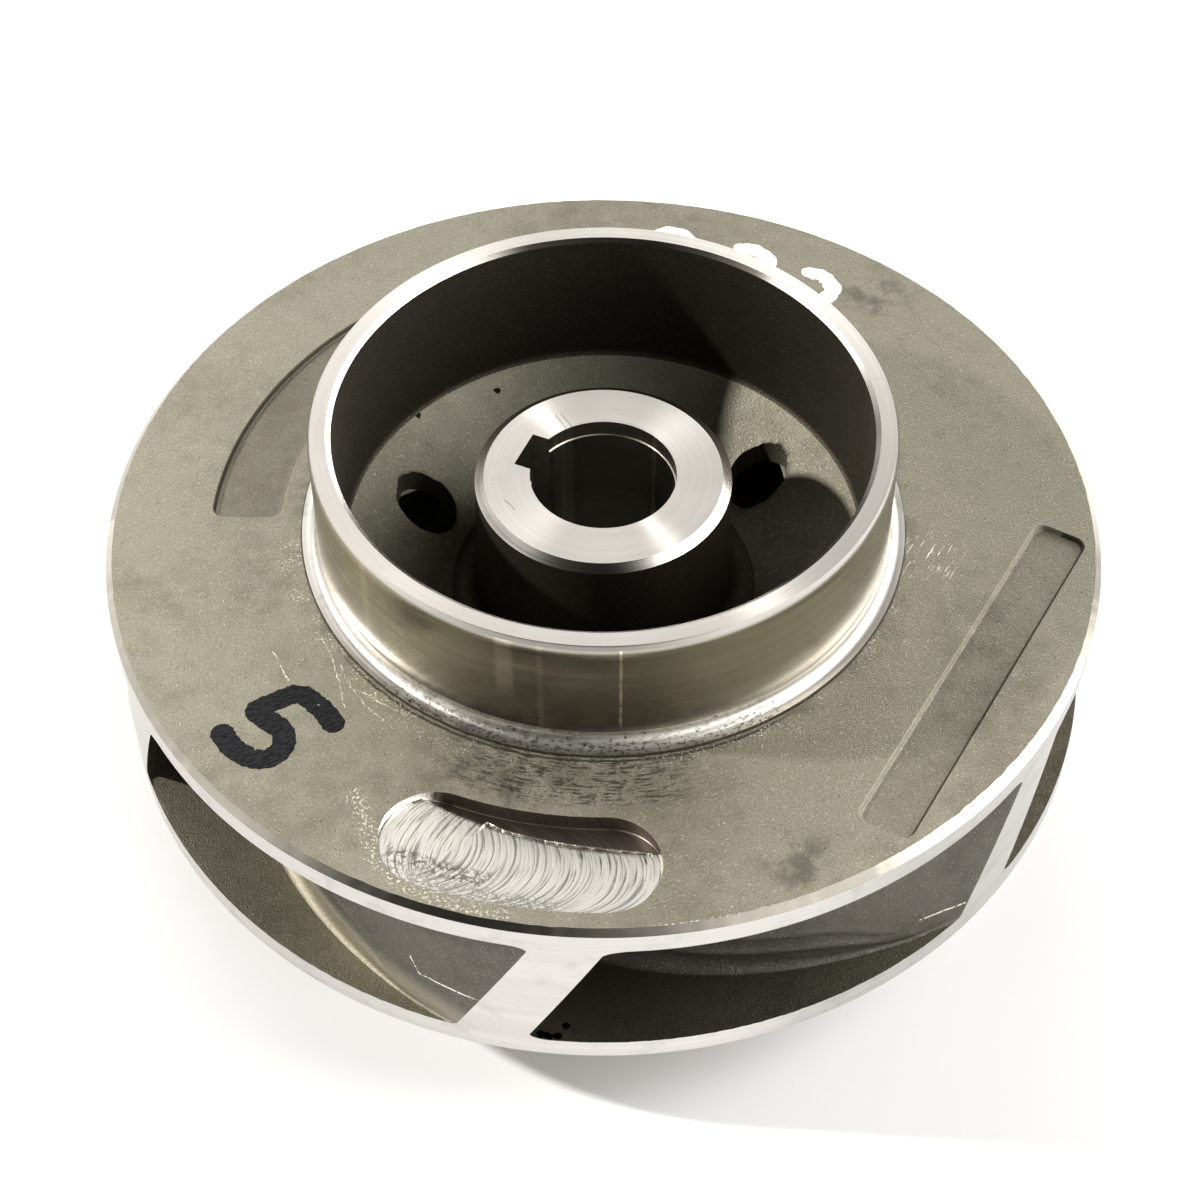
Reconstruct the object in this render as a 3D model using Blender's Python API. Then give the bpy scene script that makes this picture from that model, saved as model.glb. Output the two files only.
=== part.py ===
"""Closed pump impeller, 222 mm across, with its back side up.

One casting in six-vane double-shrouded form: the back shroud carries the hub, the tall back wear
ring and three balance holes, the front shroud carries the suction neck with the front wear ring,
and six backward curved vanes join the two shrouds. The features are separate solids here, each a
closed body with a small gap to its neighbours. Metres, +Z up along the shaft, origin at the middle
of the front ring's face, on which the impeller stands.
"""

import math

import bmesh
import bpy
from mathutils import Matrix, Vector

# Driving dimensions, in metres and degrees
OUTER_R = 0.111
SEAT_GAP = 0.0003

# Fineness of the meshes
SEGMENTS = 72
HUB_SEGMENTS = 60
HOLE_SEGMENTS = 20
SHARP_ANGLE = 25.0
WELD = 0.000005

# Heights above the face that the impeller stands on
FRONT_EDGE_LOW = 0.0243
FRONT_EDGE_TOP = 0.0295
BACK_EDGE_LOW = 0.0637
BACK_TOP = 0.0700
HUB_TOP = 0.0842
RING_TOP = 0.1007

# Rim of the back shroud
RIM_CHAMFER_R = 0.00143
RIM_CHAMFER_H = 0.0013

# Back wear ring
RING_OUT_R = 0.06374
RING_IN_R = 0.05872
RING_LAND_OUT_R = 0.06319
RING_LAND_IN_R = 0.05975
RING_OUT_CHAMFER_H = 0.0011
RING_IN_CHAMFER_H = 0.00085
RING_FOOT_R = 0.0676
RING_FILLET = 0.0030
RING_FOOT_H = 0.0006

# Hub
BORE_R = 0.0160
MOUTH_R = 0.0162
MOUTH_DEPTH = 0.0040
HUB_LAND_R = 0.02639
HUB_CHAMFER_R = 0.02840
HUB_CHAMFER_H = 0.00126
HUB_ROOT_R = 0.0310
BARREL_FOOT_R = 0.0288
HUB_FILLET = 0.0040
NOSE_FACE_Z = 0.0100
NOSE_FACE_R = 0.0275
NOSE_CHAMFER = 0.0015
KEY_WIDTH = 0.0100
KEY_DEPTH_R = 0.0193
KEY_AZIMUTH = 156.5

# Cup floor between hub and ring: a height at one radius, a slope and a curvature
CUP_REF_R = 0.0420
CUP_REF_Z = 0.0533
CUP_SLOPE = 0.673
CUP_CURVATURE = 4.0
CUP_CORNER = 0.0030
CUP_STEPS = 6

# Flow surface under the back shroud: flat, then an arc down to the hub
CEILING_ARC_R = 0.0500
CEILING_ARC_START = 0.0800
CEILING_DROP = 0.0006

# Front shroud and its neck
EYE_R = 0.0700
NECK_BEND = 0.0160
FLOOR_DROP = 0.0020
SHROUD_THICK = 0.0052
FRONT_RING_OUT_R = 0.0780
FRONT_RING_TOP = 0.0140
FRONT_RING_CHAMFER = 0.0008
NECK_TAPER = 0.0002
MIN_STEP = 0.0005

# Balance holes
HOLE_COUNT = 3
HOLE_R = 0.0070
HOLE_PITCH_R = 0.0450
HOLE_AZIMUTH = 36.5

# Vanes
VANE_COUNT = 6
VANE_TIP_AZIMUTH = -38.0
VANE_LEAN = 8.7
VANE_ANGLE_TIP = 16.5
VANE_ANGLE_EYE = 22.0
VANE_THICK = 0.0043
VANE_NOSE_THICK = 0.0016
VANE_NOSE_SHARE = 1 / 6
VANE_EYE_R_BACK = 0.0440
VANE_EYE_R_FRONT = 0.0740
VANE_STEPS = 26
VANE_GAP = 0.0005
VANE_ROWS = 4

# Milled balance pocket in the back shroud
POCKET_MID_R = 0.0944
POCKET_HALF_WIDTH = 0.0116
POCKET_START = -111.3
POCKET_END = -89.8
POCKET_DEPTH = 0.0040
POCKET_FLOOR_RISE = 0.17

# Bare recessed panels in the back shroud
PANEL_DEPTH = 0.0009
BAR_PANEL_MID_R = 0.0913
BAR_PANEL_AZIMUTH = -29.7
BAR_PANEL_LENGTH = 0.0938
BAR_PANEL_WIDTH = 0.0126
BAR_PANEL_CORNER = 0.0030
ARC_PANEL_MID_R = 0.0803
ARC_PANEL_HALF_WIDTH = 0.0079
ARC_PANEL_START = 114.0
ARC_PANEL_END = 174.0

# How far a cutter stands out past the face that it cuts
CUT_CLEAR = 0.006


def clear_scene():
    for obj in list(bpy.data.objects):
        bpy.data.objects.remove(obj, do_unlink=True)


def metal(name, color, roughness):
    mat = bpy.data.materials.new(name)
    mat.use_nodes = True
    shader = mat.node_tree.nodes["Principled BSDF"]
    shader.inputs["Base Color"].default_value = (*color, 1.0)
    shader.inputs["Metallic"].default_value = 1.0
    shader.inputs["Roughness"].default_value = roughness
    mat.diffuse_color = (*color, 1.0)
    return mat


def arc_points(centre, radius, start, end, steps):
    """Points (r, z) along an arc about a centre, angles in degrees."""
    points = []
    for i in range(steps + 1):
        a = math.radians(start + (end - start) * i / steps)
        points.append((centre[0] + radius * math.cos(a), centre[1] + radius * math.sin(a)))
    return points


def height_at(points, r):
    """Height of a profile of (r, z) points, ordered by rising r, at the radius r."""
    for (r0, z0), (r1, z1) in zip(points, points[1:]):
        if r <= r1:
            share = max(0.0, (r - r0) / (r1 - r0))
            return z0 + (z1 - z0) * share
    return points[-1][1]


def cup_floor(r):
    """Height of the cup's floor at the radius r."""
    step = r - CUP_REF_R
    return CUP_REF_Z + CUP_SLOPE * step + CUP_CURVATURE * step * step


def ceiling_profile():
    """Underside of the back shroud from the hub's root to the rim."""
    flat_z = BACK_EDGE_LOW - CEILING_DROP
    centre = (CEILING_ARC_START, flat_z - CEILING_ARC_R)
    root = math.degrees(math.acos((HUB_ROOT_R + SEAT_GAP - centre[0]) / CEILING_ARC_R))
    return arc_points(centre, CEILING_ARC_R, root, 90.0, 12) + [(OUTER_R, BACK_EDGE_LOW)]


def floor_profile():
    """Inner face of the front shroud from the eye to the rim."""
    top = FRONT_EDGE_TOP - FLOOR_DROP
    centre = (EYE_R + NECK_BEND, top - NECK_BEND)
    return arc_points(centre, NECK_BEND, 180.0, 90.0, 8) + [(OUTER_R, FRONT_EDGE_TOP)]


def finish_mesh(name, bm, mat):
    bmesh.ops.recalc_face_normals(bm, faces=bm.faces)
    mesh = bpy.data.meshes.new(name)
    bm.to_mesh(mesh)
    bm.free()
    mesh.shade_smooth()
    mesh.set_sharp_from_angle(angle=math.radians(SHARP_ANGLE))
    obj = bpy.data.objects.new(name, mesh)
    bpy.context.scene.collection.objects.link(obj)
    if mat is not None:
        mesh.materials.append(mat)
    return obj


def turned(name, profile, mat, segments=SEGMENTS):
    """Solid of revolution about Z from a closed profile of (r, z) points."""
    bm = bmesh.new()
    verts = [bm.verts.new((r, 0.0, z)) for r, z in profile]
    edges = [bm.edges.new((a, b)) for a, b in zip(verts, verts[1:] + verts[:1])]
    bmesh.ops.spin(bm, geom=verts + edges, cent=(0, 0, 0), axis=(0, 0, 1), dvec=(0, 0, 0),
                   angle=2 * math.pi, steps=segments, use_merge=True, use_duplicate=False)
    bmesh.ops.remove_doubles(bm, verts=bm.verts, dist=WELD)
    return finish_mesh(name, bm, mat)


def cut(obj, cutter):
    cutter.hide_render = True
    cutter.display_type = "WIRE"
    mod = obj.modifiers.new("cut_" + cutter.name, "BOOLEAN")
    mod.operation = "DIFFERENCE"
    mod.solver = "EXACT"
    mod.object = cutter


def prism(name, outline, low, high):
    """Closed block over an outline of (x, y) points; low and high are heights or functions."""
    bm = bmesh.new()
    bottom = [bm.verts.new((x, y, low(x, y) if callable(low) else low)) for x, y in outline]
    top = [bm.verts.new((x, y, high)) for x, y in outline]
    bm.faces.new(list(reversed(bottom)))
    bm.faces.new(top)
    count = len(outline)
    for i in range(count):
        j = (i + 1) % count
        bm.faces.new((bottom[i], bottom[j], top[j], top[i]))
    return finish_mesh(name, bm, None)


def polar(radius, azimuth):
    """The point (x, y) at a radius and an azimuth in degrees."""
    a = math.radians(azimuth)
    return (radius * math.cos(a), radius * math.sin(a))


def kidney(mid_r, half_width, start, end, long_steps, end_steps):
    """Outline of a slot that follows an arc about the shaft, with round ends."""
    points = []
    for i in range(long_steps + 1):
        points.append(polar(mid_r + half_width, start + (end - start) * i / long_steps))
    for azimuth, turn in ((end, 0.0), (start, 180.0)):
        cx, cy = polar(mid_r, azimuth)
        for i in range(1, end_steps):
            dx, dy = polar(half_width, azimuth + turn + 180.0 * i / end_steps)
            points.append((cx + dx, cy + dy))
        if turn == 0.0:
            for i in range(long_steps + 1):
                points.append(polar(mid_r - half_width, end + (start - end) * i / long_steps))
    return points


def rounded_bar(length, width, corner, corner_steps, centre, azimuth):
    """Outline of a bar with round corners, its long side across the given azimuth."""
    points = []
    spots = ((1, 1, 0.0), (-1, 1, 90.0), (-1, -1, 180.0), (1, -1, 270.0))
    turn = Matrix.Rotation(math.radians(azimuth), 2)
    for sx, sy, start in spots:
        cx = sx * (width / 2 - corner)
        cy = sy * (length / 2 - corner)
        for i in range(corner_steps + 1):
            dx, dy = polar(corner, start + 90.0 * i / corner_steps)
            point = turn @ Vector((cx + dx, cy + dy))
            points.append((centre[0] + point.x, centre[1] + point.y))
    return points


def make_back_shroud(mat):
    """Disc with the cup's floor and wall, cut by the holes, the pocket and the two panels."""
    cup_out = RING_IN_R - CUP_CORNER
    cup_in = HUB_ROOT_R + SEAT_GAP
    wall_foot = cup_floor(cup_out)
    top_side = [(OUTER_R, BACK_TOP - RIM_CHAMFER_H), (OUTER_R - RIM_CHAMFER_R, BACK_TOP),
                (RING_IN_R, BACK_TOP), (RING_IN_R, wall_foot + CUP_CORNER)]
    cup_radii = [cup_out + (cup_in - cup_out) * i / CUP_STEPS for i in range(CUP_STEPS + 1)]
    cup_side = [(r, cup_floor(r)) for r in cup_radii]
    shroud = turned("back_shroud", ceiling_profile() + top_side + cup_side, mat)

    for i in range(HOLE_COUNT):
        azimuth = HOLE_AZIMUTH + i * 360.0 / HOLE_COUNT
        cx, cy = polar(HOLE_PITCH_R, azimuth)
        ring = [polar(HOLE_R, 360.0 * k / HOLE_SEGMENTS) for k in range(HOLE_SEGMENTS)]
        outline = [(cx + dx, cy + dy) for dx, dy in ring]
        cut(shroud, prism("hole_cutter_%d" % (i + 1), outline, 0.0, RING_TOP))

    def pocket_floor(x, y):
        inner = POCKET_MID_R - POCKET_HALF_WIDTH
        return BACK_TOP - POCKET_DEPTH + POCKET_FLOOR_RISE * (math.hypot(x, y) - inner)

    outline = kidney(POCKET_MID_R, POCKET_HALF_WIDTH, POCKET_START, POCKET_END, 6, 8)
    cut(shroud, prism("pocket_cutter", outline, pocket_floor, BACK_TOP + CUT_CLEAR))

    centre = polar(BAR_PANEL_MID_R, BAR_PANEL_AZIMUTH)
    outline = rounded_bar(BAR_PANEL_LENGTH, BAR_PANEL_WIDTH, BAR_PANEL_CORNER, 3, centre,
                          BAR_PANEL_AZIMUTH)
    cut(shroud, prism("bar_panel_cutter", outline, BACK_TOP - PANEL_DEPTH, BACK_TOP + CUT_CLEAR))

    outline = kidney(ARC_PANEL_MID_R, ARC_PANEL_HALF_WIDTH, ARC_PANEL_START, ARC_PANEL_END, 12, 6)
    cut(shroud, prism("arc_panel_cutter", outline, BACK_TOP - PANEL_DEPTH, BACK_TOP + CUT_CLEAR))
    return shroud


def make_back_wear_ring(mat):
    """Turned ring on the back shroud, with a land and two chamfers on top and a fillet at its foot."""
    base = BACK_TOP + SEAT_GAP
    foot = base + RING_FOOT_H
    fillet = arc_points((RING_OUT_R + RING_FILLET, foot + RING_FILLET), RING_FILLET, 270.0, 180.0, 4)
    profile = [(RING_IN_R, base), (RING_FOOT_R, base), (RING_FOOT_R, foot)] + fillet
    profile += [(RING_OUT_R, RING_TOP - RING_OUT_CHAMFER_H), (RING_LAND_OUT_R, RING_TOP),
                (RING_LAND_IN_R, RING_TOP), (RING_IN_R, RING_TOP - RING_IN_CHAMFER_H)]
    return turned("back_wear_ring", profile, mat)


def hub_foot():
    """Hollow fillet from the cup's floor up to the hub's barrel, ordered upwards."""
    slope = math.atan(CUP_SLOPE + 2 * CUP_CURVATURE * (HUB_ROOT_R + HUB_FILLET - CUP_REF_R))
    centre_r = BARREL_FOOT_R + HUB_FILLET
    end_r = centre_r + HUB_FILLET * math.sin(slope)
    centre_z = cup_floor(end_r) + SEAT_GAP + HUB_FILLET * math.cos(slope)
    return arc_points((centre_r, centre_z), HUB_FILLET, 270.0 + math.degrees(slope), 180.0, 5)


def make_hub(mat):
    """Turned hub with its bore, counterbored mouth and keyway."""
    foot = hub_foot()
    outside = [(NOSE_FACE_R, NOSE_FACE_Z), (NOSE_FACE_R + NOSE_CHAMFER, NOSE_FACE_Z + NOSE_CHAMFER),
               (HUB_ROOT_R, ceiling_profile()[0][1]), (HUB_ROOT_R, cup_floor(HUB_ROOT_R) + SEAT_GAP)]
    outside += foot + [(HUB_CHAMFER_R, HUB_TOP - HUB_CHAMFER_H), (HUB_LAND_R, HUB_TOP)]
    inside = [(MOUTH_R, HUB_TOP), (MOUTH_R, HUB_TOP - MOUTH_DEPTH), (BORE_R, HUB_TOP - MOUTH_DEPTH),
              (BORE_R, NOSE_FACE_Z)]
    hub = turned("hub", outside + inside, mat, HUB_SEGMENTS)
    outline = [(0.0, -KEY_WIDTH / 2), (KEY_DEPTH_R, -KEY_WIDTH / 2),
               (KEY_DEPTH_R, KEY_WIDTH / 2), (0.0, KEY_WIDTH / 2)]
    turn = Matrix.Rotation(math.radians(KEY_AZIMUTH), 2)
    turned_outline = [tuple(turn @ Vector(point)) for point in outline]
    cut(hub, prism("key_cutter", turned_outline, NOSE_FACE_Z - CUT_CLEAR, HUB_TOP + CUT_CLEAR))
    return hub


def make_front_shroud(mat):
    """Disc whose inner and outer faces bend down into the suction neck."""
    inner = floor_profile()
    low_z = FRONT_RING_TOP + SEAT_GAP
    inner = [(EYE_R, low_z)] + [point for point in inner if point[1] > low_z + MIN_STEP]
    outer_bend = NECK_BEND - SHROUD_THICK
    top = FRONT_EDGE_LOW - FLOOR_DROP
    centre = (EYE_R + NECK_BEND, top - outer_bend)
    outer = arc_points(centre, outer_bend, 90.0, 168.0, 6)
    outer = [(OUTER_R, FRONT_EDGE_LOW)] + [p for p in outer if p[1] > low_z + MIN_STEP]
    outer.append((outer[-1][0] - NECK_TAPER, low_z))
    return turned("front_shroud", inner + outer, mat)


def make_front_wear_ring(mat):
    """Turned ring at the end of the suction neck, on whose face the impeller stands."""
    c = FRONT_RING_CHAMFER
    profile = [(EYE_R, c), (EYE_R + c, 0.0), (FRONT_RING_OUT_R - c, 0.0),
               (FRONT_RING_OUT_R, c), (FRONT_RING_OUT_R, FRONT_RING_TOP), (EYE_R, FRONT_RING_TOP)]
    return turned("front_wear_ring", profile, mat)


def vane_angle(r):
    """Angle between the vane and the circle through it, in radians."""
    share = (OUTER_R - r) / (OUTER_R - VANE_EYE_R_BACK)
    return math.radians(VANE_ANGLE_TIP + (VANE_ANGLE_EYE - VANE_ANGLE_TIP) * share)


def vane_wrap(r, steps=60):
    """Degrees that the vane turns back round the shaft from the rim in to the radius r."""
    total = 0.0
    width = (OUTER_R - r) / steps
    for i in range(steps):
        mid = r + width * (i + 0.5)
        total += width / (mid * math.tan(vane_angle(mid)))
    return math.degrees(total)


def make_vane(index, mat):
    """Two skins of points between the shrouds, closed at the rim, the eye, the floor and the top."""
    ceiling = ceiling_profile()
    floor = floor_profile()
    bm = bmesh.new()
    skins = []
    for side in (-1, 1):
        skin = []
        for k in range(VANE_ROWS + 1):
            up = k / VANE_ROWS
            inner_r = VANE_EYE_R_FRONT + (VANE_EYE_R_BACK - VANE_EYE_R_FRONT) * up
            row = []
            for i in range(VANE_STEPS + 1):
                s = i / VANE_STEPS
                r = inner_r + (OUTER_R - inner_r) * s
                low = height_at(floor, r) + VANE_GAP
                high = height_at(ceiling, r) - VANE_GAP
                z = low + (high - low) * up
                thick = VANE_NOSE_THICK + (VANE_THICK - VANE_NOSE_THICK) * min(1.0, s / VANE_NOSE_SHARE)
                half = math.degrees(thick / (2 * r * math.sin(vane_angle(r))))
                azimuth = VANE_TIP_AZIMUTH + 360.0 * index / VANE_COUNT - vane_wrap(r)
                azimuth += VANE_LEAN * (up - 0.5) + side * half
                x, y = polar(r, azimuth)
                row.append(bm.verts.new((x, y, z)))
            skin.append(row)
        skins.append(skin)
    left, right = skins
    for skin in skins:
        for k in range(VANE_ROWS):
            for i in range(VANE_STEPS):
                bm.faces.new((skin[k][i], skin[k][i + 1], skin[k + 1][i + 1], skin[k + 1][i]))
    for i in range(VANE_STEPS):
        for k in (0, VANE_ROWS):
            bm.faces.new((left[k][i], right[k][i], right[k][i + 1], left[k][i + 1]))
    for k in range(VANE_ROWS):
        for i in (0, VANE_STEPS):
            bm.faces.new((left[k][i], left[k + 1][i], right[k + 1][i], right[k][i]))
    return finish_mesh("vane_%d" % (index + 1), bm, mat)


def main():
    clear_scene()
    cast = metal("cast_steel", (0.40, 0.38, 0.34), 0.55)
    machined = metal("machined_steel", (0.72, 0.69, 0.66), 0.25)
    make_back_shroud(cast)
    make_back_wear_ring(machined)
    make_hub(machined)
    make_front_shroud(cast)
    make_front_wear_ring(machined)
    for index in range(VANE_COUNT):
        make_vane(index, cast)


main()
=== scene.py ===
"""Looks of the closed pump impeller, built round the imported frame.

Every shape is a surface worked out with numpy on a grid of two parameters, and every finish is
procedural. Metres, +Z up along the shaft, back side up.
"""

import math

import bmesh
import bpy
import numpy as np
from bpy.props import FloatProperty, FloatVectorProperty, IntProperty, PointerProperty
from bpy.types import Operator, Panel, PropertyGroup
from mathutils import Matrix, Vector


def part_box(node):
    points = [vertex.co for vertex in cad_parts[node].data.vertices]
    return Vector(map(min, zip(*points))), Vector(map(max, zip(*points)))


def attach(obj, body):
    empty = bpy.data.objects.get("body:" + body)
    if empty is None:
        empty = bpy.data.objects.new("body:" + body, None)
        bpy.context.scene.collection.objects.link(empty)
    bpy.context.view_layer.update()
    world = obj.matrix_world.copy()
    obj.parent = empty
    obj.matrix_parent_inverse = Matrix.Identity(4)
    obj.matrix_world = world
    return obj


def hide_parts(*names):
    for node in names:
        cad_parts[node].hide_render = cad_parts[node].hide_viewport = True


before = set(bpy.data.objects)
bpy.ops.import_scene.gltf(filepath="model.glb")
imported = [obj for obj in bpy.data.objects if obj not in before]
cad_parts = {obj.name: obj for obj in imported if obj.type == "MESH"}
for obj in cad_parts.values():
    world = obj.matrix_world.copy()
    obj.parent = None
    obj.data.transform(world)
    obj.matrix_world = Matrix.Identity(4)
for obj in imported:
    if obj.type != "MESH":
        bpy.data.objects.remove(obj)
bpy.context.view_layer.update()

bl_info = {
    "name": "Pump impeller looks",
    "version": (1, 0, 0),
    "blender": (4, 5, 0),
    "location": "3D View > Sidebar > Impeller",
    "description": "Fine surfaces and metal finishes of a closed pump impeller",
    "category": "Object",
}

BACK_LOW, BACK_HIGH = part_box("back_shroud")
FRONT_LOW, FRONT_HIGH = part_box("front_shroud")
RING_LOW, RING_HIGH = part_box("back_wear_ring")
EYE_RING_LOW, EYE_RING_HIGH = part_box("front_wear_ring")
HUB_LOW, HUB_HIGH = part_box("hub")

# Fineness of the meshes
TURNS = 720
FIRST_TURN = math.radians(-170.0)
WELD = 0.0000015
SHARP_ANGLE = math.radians(27.0)

# Degrees in a radian
DEGREES = 180.0 / math.pi


def length(name, default, text):
    """A length in metres that a user may change."""
    return FloatProperty(name=name, description=text, default=default, unit="LENGTH", precision=5)


def angle(name, degrees, text):
    """An angle that a user may change, given here in degrees."""
    return FloatProperty(name=name, description=text, default=math.radians(degrees), unit="ROTATION")


def colour(name, default, text):
    """A colour in linear values that a user may change."""
    return FloatVectorProperty(name=name, description=text, default=default, size=3,
                               subtype="COLOR", min=0.0, max=1.0)


def number(name, default, text):
    """A plain number that a user may change."""
    return FloatProperty(name=name, description=text, default=default)


class ImpellerDiscs(PropertyGroup):
    """Sizes of the two shrouds."""
    outer_r: length("Outer radius", BACK_HIGH.x, "Radius of the turned rim")
    back_top: length("Back top", BACK_HIGH.z, "Height of the flat back face")
    back_edge: length("Back lower edge", 0.0637, "Height of the back shroud's lower edge at the rim")
    front_edge: length("Front upper edge", FRONT_HIGH.z, "Height of the front shroud's upper edge")
    front_low: length("Front lower edge", 0.0243, "Height of the front shroud's lower edge at the rim")
    bevel_r: length("Rim bevel width", 0.00143, "Width of the turned bevel on the back rim")
    bevel_h: length("Rim bevel height", 0.0013, "Height of the turned bevel on the back rim")
    ceiling_drop: length("Ceiling drop", 0.0006, "How far the back shroud's underside dips behind its edge")
    ceiling_start: length("Ceiling bend start", 0.0800, "Radius where the underside starts to bend down")
    ceiling_bend: length("Ceiling bend radius", 0.0500, "Radius of that bend")
    eye_r: length("Eye radius", 0.0700, "Inner radius of the suction neck")
    neck_bend: length("Neck bend", 0.0160, "Radius of the bend from the front shroud into the neck")
    floor_drop: length("Floor drop", 0.0020, "How far the front shroud dips from its edge to the bend")
    front_thick: length("Front thickness", 0.0052, "Wall thickness of the front shroud")


class ImpellerCup(PropertyGroup):
    """Sizes of the cup between the hub and the back ring, and of its balance holes."""
    ref_r: length("Reference radius", 0.0420, "Radius at which the floor's height is given")
    ref_z: length("Reference height", 0.0533, "Height of the floor there")
    slope: number("Slope", 0.673, "Rise of the floor for each metre outwards")
    curvature: number("Curvature", 4.0, "Growth of that slope")
    corner: length("Corner radius", 0.0020, "Radius between the floor and the wall")
    hole_r: length("Hole radius", 0.0070, "Radius of a balance hole")
    hole_pitch: length("Hole pitch radius", 0.0450, "Radius on which the holes lie")
    hole_azimuth: angle("Hole azimuth", 36.5, "Azimuth of the first hole")
    hole_count: IntProperty(name="Holes", description="Number of balance holes", default=3, min=1)


class ImpellerRings(PropertyGroup):
    """Sizes of the back wear ring and of the ring round the suction eye."""
    out_r: length("Outer radius", 0.06374, "Outer radius of the back ring")
    in_r: length("Inner radius", 0.05872, "Inner radius of the back ring and of the cup")
    land_out: length("Land outer radius", 0.06319, "Outer radius of the flat land on top")
    land_in: length("Land inner radius", 0.05975, "Inner radius of the flat land on top")
    top: length("Top", RING_HIGH.z, "Height of the land")
    out_bevel: length("Outer bevel", 0.0011, "Height of the outer bevel")
    in_bevel: length("Inner bevel", 0.00085, "Height of the inner bevel")
    foot_r: length("Foot radius", RING_HIGH.x, "Outer radius of the turned foot")
    foot_h: length("Foot height", 0.0006, "How far the foot stands proud of the cast face")
    fillet: length("Foot fillet", 0.0030, "Radius between the wall and the foot")
    eye_out: length("Eye ring radius", EYE_RING_HIGH.x, "Outer radius of the front ring")
    eye_top: length("Eye ring top", EYE_RING_HIGH.z, "Height up to which the front ring is turned")
    eye_bevel: length("Eye ring bevel", 0.0008, "Bevel on the front ring's face")


class ImpellerHub(PropertyGroup):
    """Sizes of the hub, its bore and its keyway."""
    top: length("Top", HUB_HIGH.z, "Height of the turned face")
    land_r: length("Face radius", 0.02639, "Outer radius of the turned face")
    bevel_r: length("Bevel radius", 0.02840, "Outer radius of the bevel round the face")
    bevel_h: length("Bevel height", 0.00126, "Height of that bevel")
    foot_r: length("Barrel foot radius", 0.0288, "Radius of the cast barrel above its fillet")
    fillet: length("Fillet", 0.0040, "Radius between the barrel and the cup's floor")
    root_r: length("Root radius", 0.0310, "Radius of the hub inside the shroud")
    nose_z: length("Nose height", HUB_LOW.z, "Height of the face for the nut")
    nose_r: length("Nose radius", 0.0275, "Outer radius of that face")
    nose_bevel: length("Nose bevel", 0.0015, "Bevel round the nose")
    bore_r: length("Bore radius", 0.0160, "Radius of the shaft bore")
    mouth_r: length("Mouth radius", 0.0162, "Radius of the bore's counterbored mouth")
    mouth_h: length("Mouth depth", 0.0040, "Depth of that mouth")
    key_width: length("Keyway width", 0.0100, "Width of the keyway")
    key_r: length("Keyway depth", 0.0193, "Distance from the shaft's axis to the keyway's floor")
    key_azimuth: angle("Keyway azimuth", 156.5, "Azimuth of the keyway")


class ImpellerVanes(PropertyGroup):
    """Sizes of the six backward curved vanes."""
    count: IntProperty(name="Vanes", description="Number of vanes", default=6, min=2)
    tip_azimuth: angle("Tip azimuth", -38.0, "Azimuth of the first vane's tip at half height")
    lean: angle("Lean", 8.7, "How far the tip turns from its lower to its upper end")
    tip_angle: angle("Tip angle", 16.5, "Angle between the vane and the rim")
    eye_angle: angle("Eye angle", 22.0, "Angle between the vane and a circle at the eye")
    thick: length("Thickness", 0.0043, "Thickness of a vane")
    nose: length("Nose thickness", 0.0016, "Thickness of its leading edge")
    eye_back: length("Upper inlet radius", 0.0440, "Radius where the leading edge meets the back shroud")
    eye_front: length("Lower inlet radius", 0.0740, "Radius where the leading edge meets the front shroud")
    fillet_tip: length("Fillet at the rim", 0.0019, "Fillet radius between vane and shrouds at the rim")
    fillet_deep: length("Fillet inside", 0.0038, "Fillet radius deeper in the passage")


class ImpellerRecesses(PropertyGroup):
    """Sizes of the milled balance pocket and of the two bare cast panels."""
    pocket_mid: length("Pocket radius", 0.0944, "Radius of the cutter's path")
    pocket_half: length("Pocket half width", 0.0116, "Radius of the cutter")
    pocket_start: angle("Pocket start", -111.3, "Azimuth of the path's start")
    pocket_end: angle("Pocket end", -89.8, "Azimuth of the path's end")
    pocket_depth: length("Pocket depth", 0.0040, "Depth at the side towards the ring")
    pocket_split: length("Pocket split", 0.0075, "Width of the inner pass at the ridge's middle")
    pocket_skew: number("Pocket skew", 0.01146, "Growth of that width for each radian towards the end")
    pocket_turn: angle("Pocket ridge middle", -90.5, "Azimuth of the ridge's middle")
    pocket_shelf: length("Pocket shelf", 0.0016, "Depth at the ridge between the two passes")
    pocket_edge: length("Pocket edge", 0.0010, "Depth at the outer side")
    panel_depth: length("Panel depth", 0.0011, "Depth of the cast panels")
    bar_mid: length("Bar panel radius", 0.0913, "Distance from the axis to the straight panel's middle")
    bar_azimuth: angle("Bar panel azimuth", -29.7, "Azimuth of its middle")
    bar_length: length("Bar panel length", 0.0938, "Length of the straight panel")
    bar_width: length("Bar panel width", 0.0126, "Width of the straight panel")
    bar_corner: length("Bar panel corner", 0.0030, "Corner radius of the straight panel")
    arc_mid: length("Curved panel radius", 0.0803, "Radius of the curved panel's middle line")
    arc_half: length("Curved panel half width", 0.0079, "Half the width of the curved panel")
    arc_start: angle("Curved panel start", 108.3, "Azimuth of one end")
    arc_end: angle("Curved panel end", 179.7, "Azimuth of the other end")
    arc_corner: length("Curved panel corner", 0.0030, "Corner radius of the curved panel")


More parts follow.
